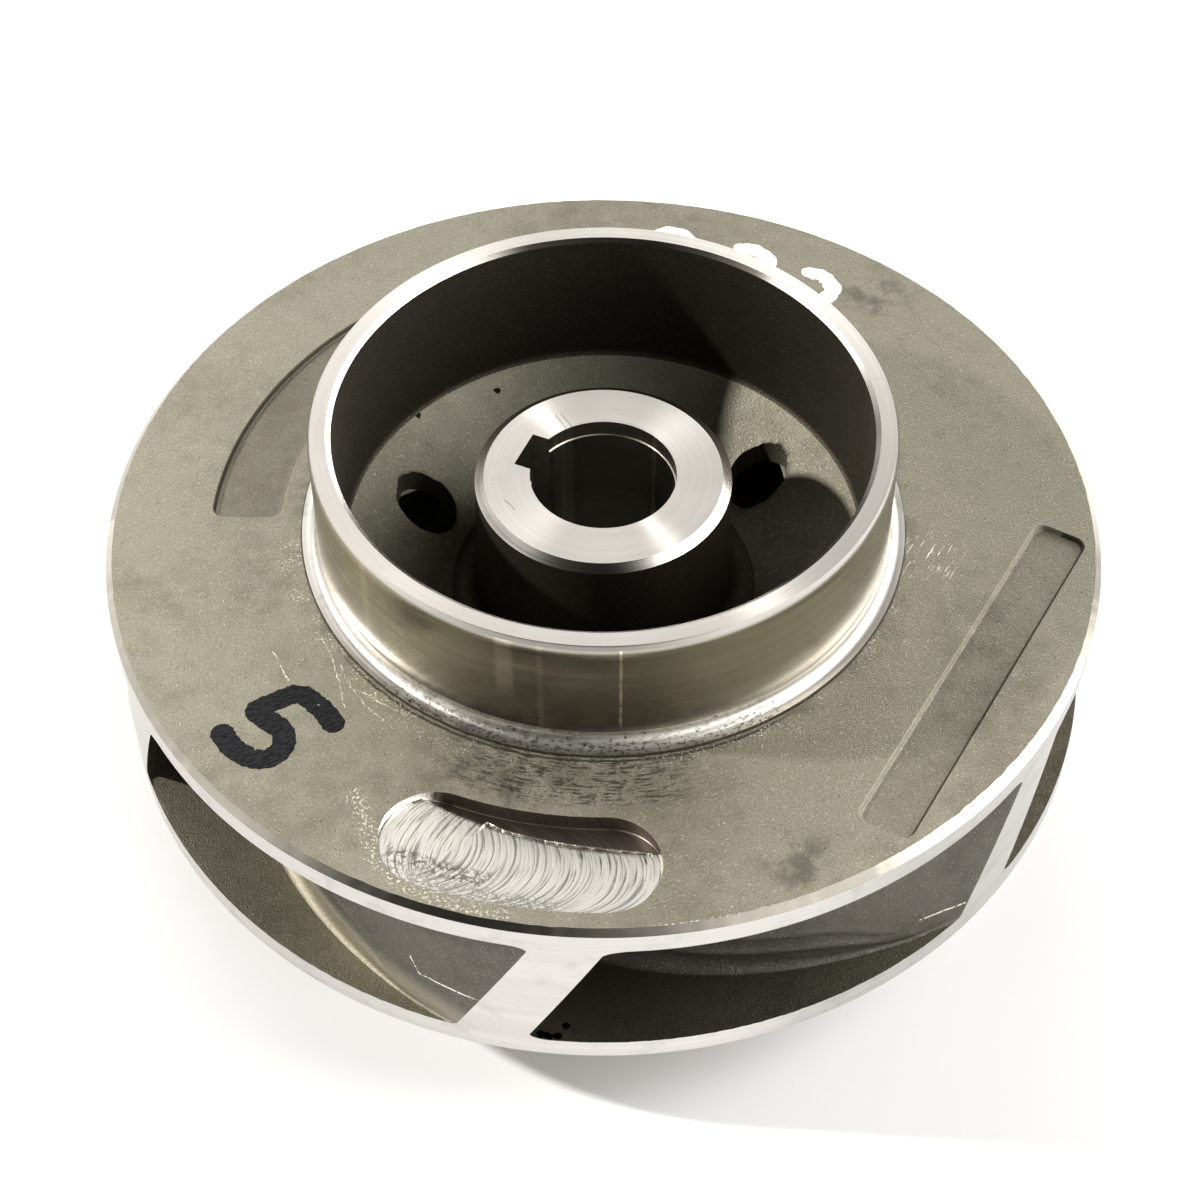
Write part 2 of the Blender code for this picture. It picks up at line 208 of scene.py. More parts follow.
class ImpellerFinishes(PropertyGroup):
    """Colours of the finishes."""
    cast: colour("Cast", (0.400, 0.375, 0.297), "Shot blasted cast surface")
    cast_dark: colour("Cast, stained", (0.285, 0.265, 0.203), "Cast surface where it is stained")
    cup: colour("Cup", (0.200, 0.190, 0.146), "Cast surface inside the cup")
    cup_dark: colour("Cup, stained", (0.145, 0.137, 0.103), "Cup's cast skin where it is stained")
    cup_wall: colour("Cup wall", (0.074, 0.066, 0.051), "Smooth skin of the cup's wall and the barrel")
    passage: colour("Passages", (0.325, 0.305, 0.228), "Cast surface inside the passages")
    passage_dark: colour("Passages, stained", (0.225, 0.208, 0.153), "Passages' skin where it is stained")
    vane: colour("Vanes", (0.156, 0.146, 0.124), "Cast skin of the vanes' flanks")
    vane_dark: colour("Vanes, stained", (0.108, 0.099, 0.084), "Cast skin of the vanes where it is stained")
    rim: colour("Rim", (0.600, 0.582, 0.550), "Turned rims and vane tips")
    turned: colour("Turned", (0.660, 0.630, 0.590), "Turned faces")
    bevel: colour("Bevel", (0.520, 0.490, 0.420), "Turned bevel of the rim")
    wall: colour("Ring wall", (0.350, 0.330, 0.264), "Fine turned wall of the ring")
    milled: colour("Milled", (0.970, 0.935, 0.865), "Milled pocket floor")
    bore: colour("Bore", (0.560, 0.540, 0.480), "Reamed bore")
    ink: colour("Marker", (0.0035, 0.0038, 0.0045), "Black marker numeral")
    paint: colour("Paint", (0.860, 0.860, 0.840), "White brushed digits")


class ImpellerStage(PropertyGroup):
    """The floor, the lights and the camera."""
    eye_y: length("Camera Y", -0.38306, "Camera's place in front of the shaft")
    eye_z: length("Camera Z", 0.48350, "Camera's height above the floor")
    pitch: FloatProperty(name="Pitch", description="Downward tilt", default=0.856359, unit="ROTATION")
    yaw: FloatProperty(name="Yaw", description="Turn to the left", default=0.0021217, unit="ROTATION")
    roll: FloatProperty(name="Roll", description="Turn about the view", default=-0.0030654, unit="ROTATION")
    lens: number("Lens", 75.289, "Focal length in mm on a 36 mm sensor")
    floor_half: length("Floor", 4.0, "Half the floor's width")
    floor: colour("Floor colour", (0.885, 0.895, 0.915), "Pale floor")
    sky: number("Sky", 1.0, "Strength of the pale surroundings")
    key: number("Key light", 4.0, "Strength of the low lamp from the left")
    key_angle: angle("Key disc", 3.0, "Width of that lamp's disc")


GROUPS = {
    "impeller_discs": ImpellerDiscs,
    "impeller_cup": ImpellerCup,
    "impeller_rings": ImpellerRings,
    "impeller_hub": ImpellerHub,
    "impeller_vanes": ImpellerVanes,
    "impeller_recesses": ImpellerRecesses,
    "impeller_finishes": ImpellerFinishes,
    "impeller_stage": ImpellerStage,
}


# Plane geometry: a point x, y of a plan is the complex number x + iy


def turn(radius, azimuth):
    """Plan point at a radius and an azimuth in radians: r times e to the i azimuth."""
    return radius * np.exp(1j * azimuth)


def lift(plan, height):
    """Plan points and their heights as an array whose last axis is x, y, z."""
    return np.stack((plan.real, plan.imag, np.broadcast_to(height, plan.shape)), axis=-1)


def smooth(x, low, high):
    """Smooth step: 3 t^2 - 2 t^3 of the share t of the way from low to high."""
    t = np.clip((x - low) / (high - low), 0.0, 1.0)
    return t * t * (3.0 - 2.0 * t)


def ripple(azimuth, seed, waves, slope=1.0):
    """Periodic ragged line: a sum of cosines whose size falls with their number to a power."""
    dice = np.random.default_rng(seed)
    total = np.zeros_like(azimuth)
    for count in waves:
        total = total + np.cos(count * azimuth + dice.uniform(0.0, 2.0 * np.pi)) / count ** slope
    scale = math.sqrt(sum(0.5 / count ** (2.0 * slope) for count in waves))
    return total / scale


def arc_profile(centre_r, centre_z, radius, start, end, steps):
    """Profile points (r, z) along an arc from one angle to another, in degrees."""
    a = np.radians(np.linspace(start, end, steps + 1))
    return np.stack((centre_r + radius * np.cos(a), centre_z + radius * np.sin(a)), axis=-1)


def line_profile(start, end, steps=1):
    """Profile points (r, z) along a straight line."""
    share = np.linspace(0.0, 1.0, steps + 1)[:, None]
    return np.asarray(start) * (1.0 - share) + np.asarray(end) * share


def follow(pieces, share):
    """Plan point at a share of the way round a closed outline.

    pieces are (weight, curve) in order. Each curve takes its own share from 0 to 1, and its weight
    is the part of the whole share that it takes up.
    """
    weights = np.array([weight for weight, curve in pieces])
    ends = np.cumsum(weights) / weights.sum()
    starts = np.concatenate(([0.0], ends[:-1]))
    share = np.mod(share, 1.0)
    place = np.minimum(np.searchsorted(ends, share, side="right"), len(pieces) - 1)
    points = np.zeros(share.shape, complex)
    for index, (weight, curve) in enumerate(pieces):
        here = place == index
        points[here] = curve((share[here] - starts[index]) / (ends[index] - starts[index]))
    return points


def straight(start, end):
    """Curve from one plan point straight to another."""
    return lambda s: start + (end - start) * s


def bow(centre, radius, start, end):
    """Curve along an arc about a plan point, angles in radians."""
    return lambda s: centre + radius * np.exp(1j * (start + (end - start) * s))


# Weight of a corner's arc against its length, so that corners get more points
CORNER_WEIGHT = 3.0


def bar_outline(long, wide, corner):
    """Rounded bar about the origin, its long side along +y, as a function of share and inset.

    Returns the function and the shares at the middles of its four corners.
    """
    half_w, half_l, quarter = wide / 2, long / 2, math.pi / 2
    turn_weight = CORNER_WEIGHT * corner * quarter
    long_weight, short_weight = long - 2 * corner, max(wide - 2 * corner, 1e-9)
    total = 2 * (long_weight + short_weight + 2 * turn_weight)

    def outline(share, inset=0.0):
        c = max(corner - inset, 0.0)
        x, y = half_w - inset, half_l - inset
        pieces = (
            (long_weight, straight(complex(-x, c - y), complex(-x, y - c))),
            (turn_weight, bow(complex(c - x, y - c), c, 2 * quarter, quarter)),
            (short_weight, straight(complex(c - x, y), complex(x - c, y))),
            (turn_weight, bow(complex(x - c, y - c), c, quarter, 0.0)),
            (long_weight, straight(complex(x, y - c), complex(x, c - y))),
            (turn_weight, bow(complex(x - c, c - y), c, 0.0, -quarter)),
            (short_weight, straight(complex(x - c, -y), complex(c - x, -y))),
            (turn_weight, bow(complex(c - x, c - y), c, -quarter, -2 * quarter)),
        )
        return follow(pieces, share)

    ends = np.cumsum([long_weight, turn_weight, short_weight, turn_weight] * 2) / total
    corners = ends[1::2] - turn_weight / total / 2
    return outline, (corners[3] - 1.0, corners[0], corners[1], corners[2])


def kidney_outline(mid, half, start, end):
    """Slot that follows an arc about the shaft, with round ends, as a function of share and inset."""
    long_weight = mid * (end - start)
    cap_weight = 1.5 * half * math.pi
    total = 2 * (long_weight + cap_weight)

    def outline(share, inset=0.0):
        cap = half - inset
        pieces = (
            (long_weight, bow(0.0, mid - cap, start, end)),
            (cap_weight, bow(turn(mid, end), cap, end + math.pi, end)),
            (long_weight, bow(0.0, mid + cap, end, start)),
            (cap_weight, bow(turn(mid, start), cap, start, start - math.pi)),
        )
        return follow(pieces, share)

    long_share, cap_share = long_weight / total, cap_weight / total
    near, far = long_share + cap_share / 4, long_share + cap_share * 3 / 4
    return outline, (-cap_share / 4, near, far, 1.0 - cap_share * 3 / 4)


def placed_bar(recess):
    """The straight panel's outline, set at its azimuth."""
    outline, corners = bar_outline(recess.bar_length, recess.bar_width, recess.bar_corner)
    spin = np.exp(1j * recess.bar_azimuth)
    return lambda share, inset=0.0: (outline(share, inset) + recess.bar_mid) * spin, corners


def bent_bar(recess):
    """The curved panel's outline: a rounded bar whose length is bent round the shaft."""
    mid = recess.arc_mid
    middle, span = (recess.arc_start + recess.arc_end) / 2, recess.arc_end - recess.arc_start
    outline, corners = bar_outline(mid * span, 2 * recess.arc_half, recess.arc_corner)

    def bent(share, inset=0.0):
        flat = outline(share, inset)
        return turn(mid + flat.real, middle + flat.imag / mid)

    return bent, corners


def circle_outline(centre, radius, azimuth):
    """Circle whose share starts at the corner of a window that faces the shaft."""
    def outline(share, inset=0.0):
        return centre + turn(radius - inset, azimuth - 0.75 * math.pi - 2 * math.pi * share)

    return outline, (0.0, 0.25, 0.5, 0.75)


# Meshes


class Shell:
    """Sheets of grid points, each with its finish, that are joined into one closed mesh."""

    def __init__(self):
        self.points, self.quads, self.skins, self.count = [], [], [], 0

    def sheet(self, points, finish, keep=None):
        """Adds a grid of points (rows, columns, 3); keep is a mask of the cells that are used."""
        rows, columns = points.shape[:2]
        index = np.arange(rows * columns).reshape(rows, columns) + self.count
        quads = np.stack((index[:-1, :-1], index[1:, :-1], index[1:, 1:], index[:-1, 1:]), axis=-1)
        quads = quads.reshape(-1, 4) if keep is None else quads[keep]
        self.points.append(points.reshape(-1, 3))
        self.quads.append(quads)
        self.skins.append(np.full(len(quads), finish))
        self.count += rows * columns

    def build(self, name):
        """The shell as one object, with its doubles merged and its faces pointing out."""
        points, quads = np.concatenate(self.points), np.concatenate(self.quads)
        used, quads = np.unique(quads, return_inverse=True)
        finishes, skins = np.unique(np.concatenate(self.skins), return_inverse=True)
        mesh = bpy.data.meshes.new(name)
        mesh.from_pydata(points[used], [], quads.reshape(-1, 4))
        mesh.polygons.foreach_set("material_index", skins.astype(np.int32))
        bm = bmesh.new()
        bm.from_mesh(mesh)
        bmesh.ops.remove_doubles(bm, verts=bm.verts, dist=WELD)
        bmesh.ops.recalc_face_normals(bm, faces=bm.faces)
        bm.to_mesh(mesh)
        bm.free()
        mesh.shade_smooth()
        mesh.set_sharp_from_angle(angle=SHARP_ANGLE)
        for finish in finishes:
            mesh.materials.append(bpy.data.materials[str(finish)])
        obj = bpy.data.objects.new(name, mesh)
        bpy.context.scene.collection.objects.link(obj)
        return obj


def azimuths(count=TURNS):
    """The turning lines that all sheets of a round piece share."""
    return FIRST_TURN + np.linspace(0.0, 2.0 * np.pi, count + 1)


def turned_sheet(shell, profile, finish, around, wider=0.0, higher=0.0):
    """Adds a surface of revolution: the profile (r, z) carried round the shaft.

    wider and higher, arrays over the turning lines and the profile's points, are added to r and z.
    """
    shell.sheet(lift(turn(profile[:, 0] + wider, around[:, None]), profile[:, 1] + higher), finish)


def window_border(plan, turns, lines):
    """Plan points round a window of a sheet, from its corner of first turn and first line."""
    (a0, a1), (b0, b1) = turns, lines
    return np.concatenate((plan[a0:a1, b0], plan[a1, b0:b1], plan[a1:a0:-1, b1], plan[a0, b1:b0:-1]))


def window_shares(turns, lines, corners):
    """Shares of an outline that match the window's border, corner by corner."""
    along, across = turns[1] - turns[0], lines[1] - lines[0]
    stops = list(corners) + [corners[0] + 1.0]
    counts = (along, across, along, across)
    return np.concatenate([np.linspace(stops[i], stops[i + 1], counts[i], endpoint=False) for i in range(4)])


def closed(row):
    """A row of points with its first point again at its end."""
    return np.concatenate((row, row[:1]))


# Rows of points in the collar between a window's border and its outline
COLLAR_ROWS = 6


def fit_window(shell, plan, height, turns, lines, outline, corners, finish, rim=None):
    """Fills a window between its border and an outline with a collar of points in straight rows.

    height gives z from plan points. rim, a function of the distance to the outline and the share,
    is added to it. Returns the outline's shares.
    """
    border = closed(window_border(plan, turns, lines))
    shares = closed(window_shares(turns, lines, corners))
    edge = outline(shares)
    step = smooth(np.linspace(0.0, 1.0, COLLAR_ROWS), -0.6, 1.0)[:, None]
    step = (step - step[0]) / (step[-1] - step[0])
    points = border * (1.0 - step) + edge * step
    z = height(points)
    if rim is not None:
        z = z + rim(np.abs(points - edge), shares)
    shell.sheet(lift(points, z), finish)
    return shares


def window_of(around, radii, low, high):
    """The turning lines and the profile lines that frame an outline between two corners (r, azimuth)."""
    return tuple((int(np.searchsorted(grid, first, side="right")) - 1, int(np.searchsorted(grid, last)))
                 for grid, first, last in ((around, low[1], high[1]), (radii, low[0], high[0])))


def cells_outside(shape, windows):
    """Mask of a sheet's cells that lie in no window."""
    keep = np.ones((shape[0] - 1, shape[1] - 1), bool)
    for (a0, a1), (b0, b1) in windows:
        keep[a0:a1, b0:b1] = False
    return keep


# Heights of the cast surfaces over a radius


def cup_height(cup, r):
    """Height of the cup's floor: a reference height plus slope and curvature terms."""
    step = r - cup.ref_r
    return cup.ref_z + cup.slope * step + cup.curvature * step * step


def ceiling_height(discs, r):
    """Underside of the back shroud: a slightly falling plane, then an arc down to the hub."""
    flat = discs.back_edge - discs.ceiling_drop
    outer = flat + discs.ceiling_drop * (r - discs.ceiling_start) / (discs.outer_r - discs.ceiling_start)
    dip = np.clip(r - discs.ceiling_start, -discs.ceiling_bend, 0.0)
    arc = flat - discs.ceiling_bend + np.sqrt(discs.ceiling_bend ** 2 - dip ** 2)
    return np.where(r > discs.ceiling_start, outer, arc)


def floor_height(discs, r):
    """Inner face of the front shroud: a slightly rising cone, then an arc down into the neck."""
    top, bend = discs.front_edge - discs.floor_drop, discs.eye_r + discs.neck_bend
    outer = top + discs.floor_drop * (r - bend) / (discs.outer_r - bend)
    dip = np.clip(bend - r, 0.0, discs.neck_bend)
    arc = top - discs.neck_bend + np.sqrt(discs.neck_bend ** 2 - dip ** 2)
    return np.where(r > bend, outer, arc)


def pocket_depth(recess, plan):
    """Depth of the milled pocket: a steep inner pass up to an oblique ridge, then a nearly level one."""
    across = np.abs(plan) - recess.pocket_mid + recess.pocket_half
    split = recess.pocket_split + recess.pocket_skew * (np.angle(plan) - recess.pocket_turn)
    inner = recess.pocket_depth + (recess.pocket_shelf - recess.pocket_depth) * across / split
    share = (across - split) / (2 * recess.pocket_half - split)
    outer = recess.pocket_shelf + (recess.pocket_edge - recess.pocket_shelf) * share
    return np.where(across < split, inner, outer)


# Finish node trees


class Wire:
    """A node's socket that can stand in a Python sum; each sum adds a Math node."""

    def __init__(self, net, socket):
        self.net, self.socket = net, socket

    def math(self, operation, *values):
        return self.net.node("ShaderNodeMath", {"operation": operation}, dict(enumerate((self, *values))))[0]

    def __add__(self, other):
        return self.math("ADD", other)

    __radd__ = __add__

    def __sub__(self, other):
        return self.math("SUBTRACT", other)

    def __rsub__(self, other):
        return (self * -1.0) + other

    def __mul__(self, other):
        return self.math("MULTIPLY", other)

    __rmul__ = __mul__

    def __pow__(self, other):
        return self.math("POWER", other)

    def least(self, other):
        return self.math("MINIMUM", other)

    def most(self, other):
        return self.math("MAXIMUM", other)

    def clamped(self):
        return self.least(1.0).most(0.0)


class Outputs:
    """The outputs of a node by name or number, as wires."""

    def __init__(self, net, node):
        self.net, self.made = net, node

    def __getitem__(self, key):
        return Wire(self.net, self.made.outputs[key])


class Net:
    """A material's or a world's node tree."""

    def __init__(self, owner):
        owner.use_nodes = True
        self.tree = owner.node_tree
        self.tree.nodes.clear()

    def node(self, kind, settings=None, links=None):
        """Adds a node, sets its settings, then the values or links of its sockets."""
        made = self.tree.nodes.new(kind)
        for key, value in (settings or {}).items():
            setattr(made, key, value)
        for key, value in (links or {}).items():
            if isinstance(value, Wire):
                self.tree.links.new(value.socket, made.inputs[key])
            else:
                made.inputs[key].default_value = value
        return Outputs(self, made)

    def place(self):
        """The Object coordinates as a vector."""
        return self.node("ShaderNodeTexCoord")["Object"]

    def split(self, vector):
        """The x, y and z of a vector."""
        parts = self.node("ShaderNodeSeparateXYZ", None, {"Vector": vector})
        return parts["X"], parts["Y"], parts["Z"]

    def join(self, x, y, z):
        """A vector of three values."""
        return self.node("ShaderNodeCombineXYZ", None, {"X": x, "Y": y, "Z": z})["Vector"]

    def noise(self, vector, scale, detail=2.0, rough=0.5):
        """Noise from 0 to 1."""
        links = {"Vector": vector, "Scale": scale, "Detail": detail, "Roughness": rough}
        return self.node("ShaderNodeTexNoise", {"noise_dimensions": "3D"}, links)["Fac"]

    def cells(self, vector, scale):
        """Scattered points: the Distance to the nearest one, and that point's random Color."""
        return self.node("ShaderNodeTexVoronoi", {"feature": "F1"}, {"Vector": vector, "Scale": scale})

    def ramp(self, value, low, high, start=0.0, end=1.0):
        """Smooth step of a value between two bounds."""
        links = {"Value": value, "From Min": low, "From Max": high, "To Min": start, "To Max": end}
        return self.node("ShaderNodeMapRange", {"interpolation_type": "SMOOTHSTEP"}, links)["Result"]

    def fade(self, value, low, high):
        """Smooth step of a value down from 1 to 0 between two bounds."""
        return self.ramp(value, low, high, 1.0, 0.0)

    def hill(self, value, foot, low, high, end):
        """1 from low to high, fading to 0 at a foot below and an end above."""
        return self.ramp(value, foot, low) * self.fade(value, high, end)

    def band(self, value, low, high, soft):
        """1 between two bounds, fading to 0 outside them over a soft width."""
        return self.hill(value, low - soft, low, high, high + soft)

    def mix(self, factor, first, second):
        """A colour between two colours; 0, 6 and 7 are the Mix node's factor and colours, 2 its result."""
        links = {0: factor, 6: paint(first), 7: paint(second)}
        return self.node("ShaderNodeMix", {"data_type": "RGBA"}, links)[2]

    def polar(self):
        """Radius, azimuth and height of the shaded point."""
        x, y, z = self.split(self.place())
        radius = (x * x + y * y).math("SQRT")
        return radius, y.math("ARCTAN2", x), z

    def vector(self, operation, first, second, output="Vector"):
        """One Vector Math node."""
        return self.node("ShaderNodeVectorMath", {"operation": operation}, {0: first, 1: second})[output]

    def spot(self, point, inner, outer):
        """1 round a fixed point, fading to 0 from an inner to an outer distance."""
        return self.fade(self.vector("DISTANCE", self.place(), point, "Value"), inner, outer)

    def near_line(self, start, end, inner, outer, shake=None):
        """1 along a straight stretch between two points, fading to 0 at an outer distance."""
        along = np.subtract(end, start)
        place = self.place() if shake is None else self.vector("ADD", self.place(), shake)
        offset = self.vector("SUBTRACT", place, start)
        share = self.vector("DOT_PRODUCT", offset, along / (along @ along), "Value").clamped()
        foot = self.node("ShaderNodeVectorMath", {"operation": "SCALE"}, {0: along, "Scale": share})["Vector"]
        return self.fade(self.vector("DISTANCE", offset, foot, "Value"), inner, outer)

    def trail(self, points, inner, outer, shake=None):
        """1 along a line through several points given in millimetres."""
        points = [np.array(point) / 1000 for point in points]
        total = None
        for start, end in zip(points, points[1:]):
            stretch = self.near_line(start, end, inner, outer, shake)
            total = stretch if total is None else total.most(stretch)
        return total

    def patches(self, place, scale, low, high, detail=2.0, rough=0.5):
        """Ragged patches: a smooth step of a noise between two bounds."""
        return self.ramp(self.noise(place, scale, detail, rough), low, high)

    def shake(self, scale, reach):
        """A vector that wanders by up to half a reach."""
        made = self.node("ShaderNodeTexNoise", None, {"Vector": self.place(), "Scale": scale, "Detail": 2.0})
        middle = self.vector("SUBTRACT", made["Color"], (0.5, 0.5, 0.5))
        return self.vector("MULTIPLY", middle, (reach,) * 3)

    def arcs(self, along, across, low, high):
        """Marks drawn out round the shaft; along is their number in a radian, across in a metre."""
        radius, azimuth, z = self.polar()
        lane = self.join(azimuth * along, radius * across, z * across)
        return self.patches(lane, 1.0, low, high, 2.0, 0.6)

    def streaks(self, heading, along, across, low, high, detail=2.0):
        """Marks drawn out along a heading in the plan, in degrees: a stretched noise over a bound."""
        x, y, z = self.split(self.place())
        c, s = math.cos(math.radians(heading)), math.sin(math.radians(heading))
        lane = self.join((x * c + y * s) * along, (y * c - x * s) * across, z * across)
        return self.patches(lane, 1.0, low, high, detail, 0.6)

    def bump(self, height, distance):
        """A normal bent by a height."""
        return self.node("ShaderNodeBump", None, {"Height": height, "Distance": distance})["Normal"]

    def metal(self, shade, rough, normal=None, metallic=1.0, stretch=0.0, specular=0.5):
        """The closing shader; stretch is the constant anisotropy of turned faces."""
        links = {"Base Color": shade, "Roughness": rough, "Metallic": metallic, "Anisotropic": stretch,
                 "Specular IOR Level": specular}
        if normal is not None:
            links["Normal"] = normal
        shader = self.node("ShaderNodeBsdfPrincipled", None, links)
        self.node("ShaderNodeOutputMaterial", None, {"Surface": shader["BSDF"]})


def paint(value):
    """A colour with its alpha, or a wire as it is."""
    return value if isinstance(value, Wire) else (*tuple(value)[:3], 1.0)


def new_finish(name):
    """The emptied node tree of a new material."""
    return Net(bpy.data.materials.new(name))


# Cast skins: noise scales of the blotches, the mottling, the blasted grain and its glinting grains,
# and how deep that grain is
BLOTCH, MOTTLE, GRAIN, GRIT = 22.0, 170.0, 2000.0, 2100.0
CAST_RELIEF = 0.00020


def cast_parts(net, tone, stained, tips=(0.60, 0.57, 0.47), glint=0.55):
    """Colour, roughness and height of a shot blasted cast skin.

    Soft blotches some centimetres wide over mottling of a few millimetres, a blasted grain of about
    half a millimetre, glinting tips of grains and a few dark pits.
    """
    place = net.place()
    blotch = net.noise(place, BLOTCH, 2.0, 0.55)
    mottle = net.noise(place, MOTTLE, 2.0, 0.62)
    grain = net.noise(place, GRAIN, 2.0, 0.7)
    grit = net.cells(place, GRIT)
    lot, other = net.split(grit["Color"])[:2]
    tip = net.fade(grit["Distance"], 0.20, 0.46) * net.ramp(lot, 0.70, 1.0)
    pit = net.fade(grit["Distance"], 0.20, 0.45) * net.ramp(other, 0.985, 0.988)
    stain = net.ramp(blotch * 0.7 + mottle * 0.4, 0.48, 0.80)
    shade = net.mix(stain, tone, stained)
    shade = net.mix(net.ramp(grain, 0.34, 0.66), darker(net, shade, 0.76), shade)
    shade = net.mix(tip * glint, shade, tips)
    shade = net.mix(pit * 0.8, shade, (0.03, 0.028, 0.022))
    rough = 0.62 - tip * 0.18 + (mottle - 0.5) * 0.10
    height = grain * 0.8 + mottle * 0.6 + tip * 0.3
    return shade, rough, height


def darker(net, shade, share):
    """A colour scaled down in brightness."""
    return net.mix(1.0 - share, shade, (0.0, 0.0, 0.0))


def cast_finish(name, tone, stained, tips=(0.60, 0.57, 0.47), pits=(), glint=0.55, hair=None):
    """Plain cast skin, with ragged dark pits and a pale hair mark at places given in millimetres.

    A skin with pits, that of the cup's floor, gets a painted reflection that makes it paler towards its far
    side.
    """
    net = new_finish(name)
    shade, rough, height = cast_parts(net, tone, stained, tips, glint)
    if pits:
        # Painted reflection: paler towards the cup's far side
        far = net.ramp(net.split(net.place())[1], 0.026, 0.056, 0.0, 0.30)
        shade = net.mix(far, shade, (0.46, 0.44, 0.35))
        uneven = (net.noise(net.place(), 1100.0) - 0.5) * 1.6
    for x, y, z, size in pits:
        pit = net.spot((x / 1000, y / 1000, z / 1000), 0.0, size * 0.0012) + uneven
        shade = net.mix(net.ramp(pit, 0.42, 0.55), shade, (0.012, 0.011, 0.008))
    if hair:
        shade = net.mix(net.trail(hair, 0.00008, 0.00028), shade, (0.80, 0.78, 0.70))
    net.metal(shade, rough, net.bump(height, CAST_RELIEF))


def level(height, *pairs):
    """Points x, y, z in millimetres, all at one height."""
    return tuple((x, y, height) for x, y in pairs)


# Short dark nicks on the hub's face, lines scratched and scribed into the cast skins, and the edge
# of the pocket where the cutter tore the skin, in millimetres. Smudges with their inner and outer
# radius, in metres
NICKS = (
    level(84.2, (-10.8, 18.4), (-6.3, 10.5)),
    level(84.2, (-9.6, 18.9), (-5.4, 12.0)),
    level(84.2, (-21.5, -7.8), (-19.2, -10.8)),
)
SCRATCHES = (
    level(70.0, (-71.1, -37.8), (-69.1, -42.4), (-66.9, -46.8)),
    level(70.0, (-60.9, -34.3), (-57.3, -43.2), (-54.4, -54.1)),
    level(70.0, (-56.5, -41.3), (-53.5, -48.7), (-50.2, -53.6), (-44.4, -59.5)),
    level(70.0, (-50.7, -50.1), (-46.2, -53.6), (-40.4, -56.8)),
)
SCRIBED = (
    ((-16.1, -109.8, 60.5), (-18.5, -109.4, 54.1), (-22.2, -108.8, 45.5), (-24.8, -108.2, 41.2),
     (-30.7, -105.0, 40.0), (-38.5, -99.8, 38.6), (-40.2, -97.8, 41.9)),
    ((67.5, -83.8, 34.0), (72.4, -81.6, 34.2), (77.5, -79.1, 33.6)),
)
SMUDGES = (
    ((0.066, 0.074, 0.070), 0.002, 0.016),
    ((0.040, -0.095, 0.070), 0.002, 0.013),
    ((-0.022, -0.069, 0.070), 0.004, 0.024),
)
TORN_EDGE = level(70.0, (-51.0, -77.0), (-47.5, -86.0), (-46.5, -92.0), (-41.0, -98.5), (-32.0, -103.2),
                  (-20.0, -106.6))


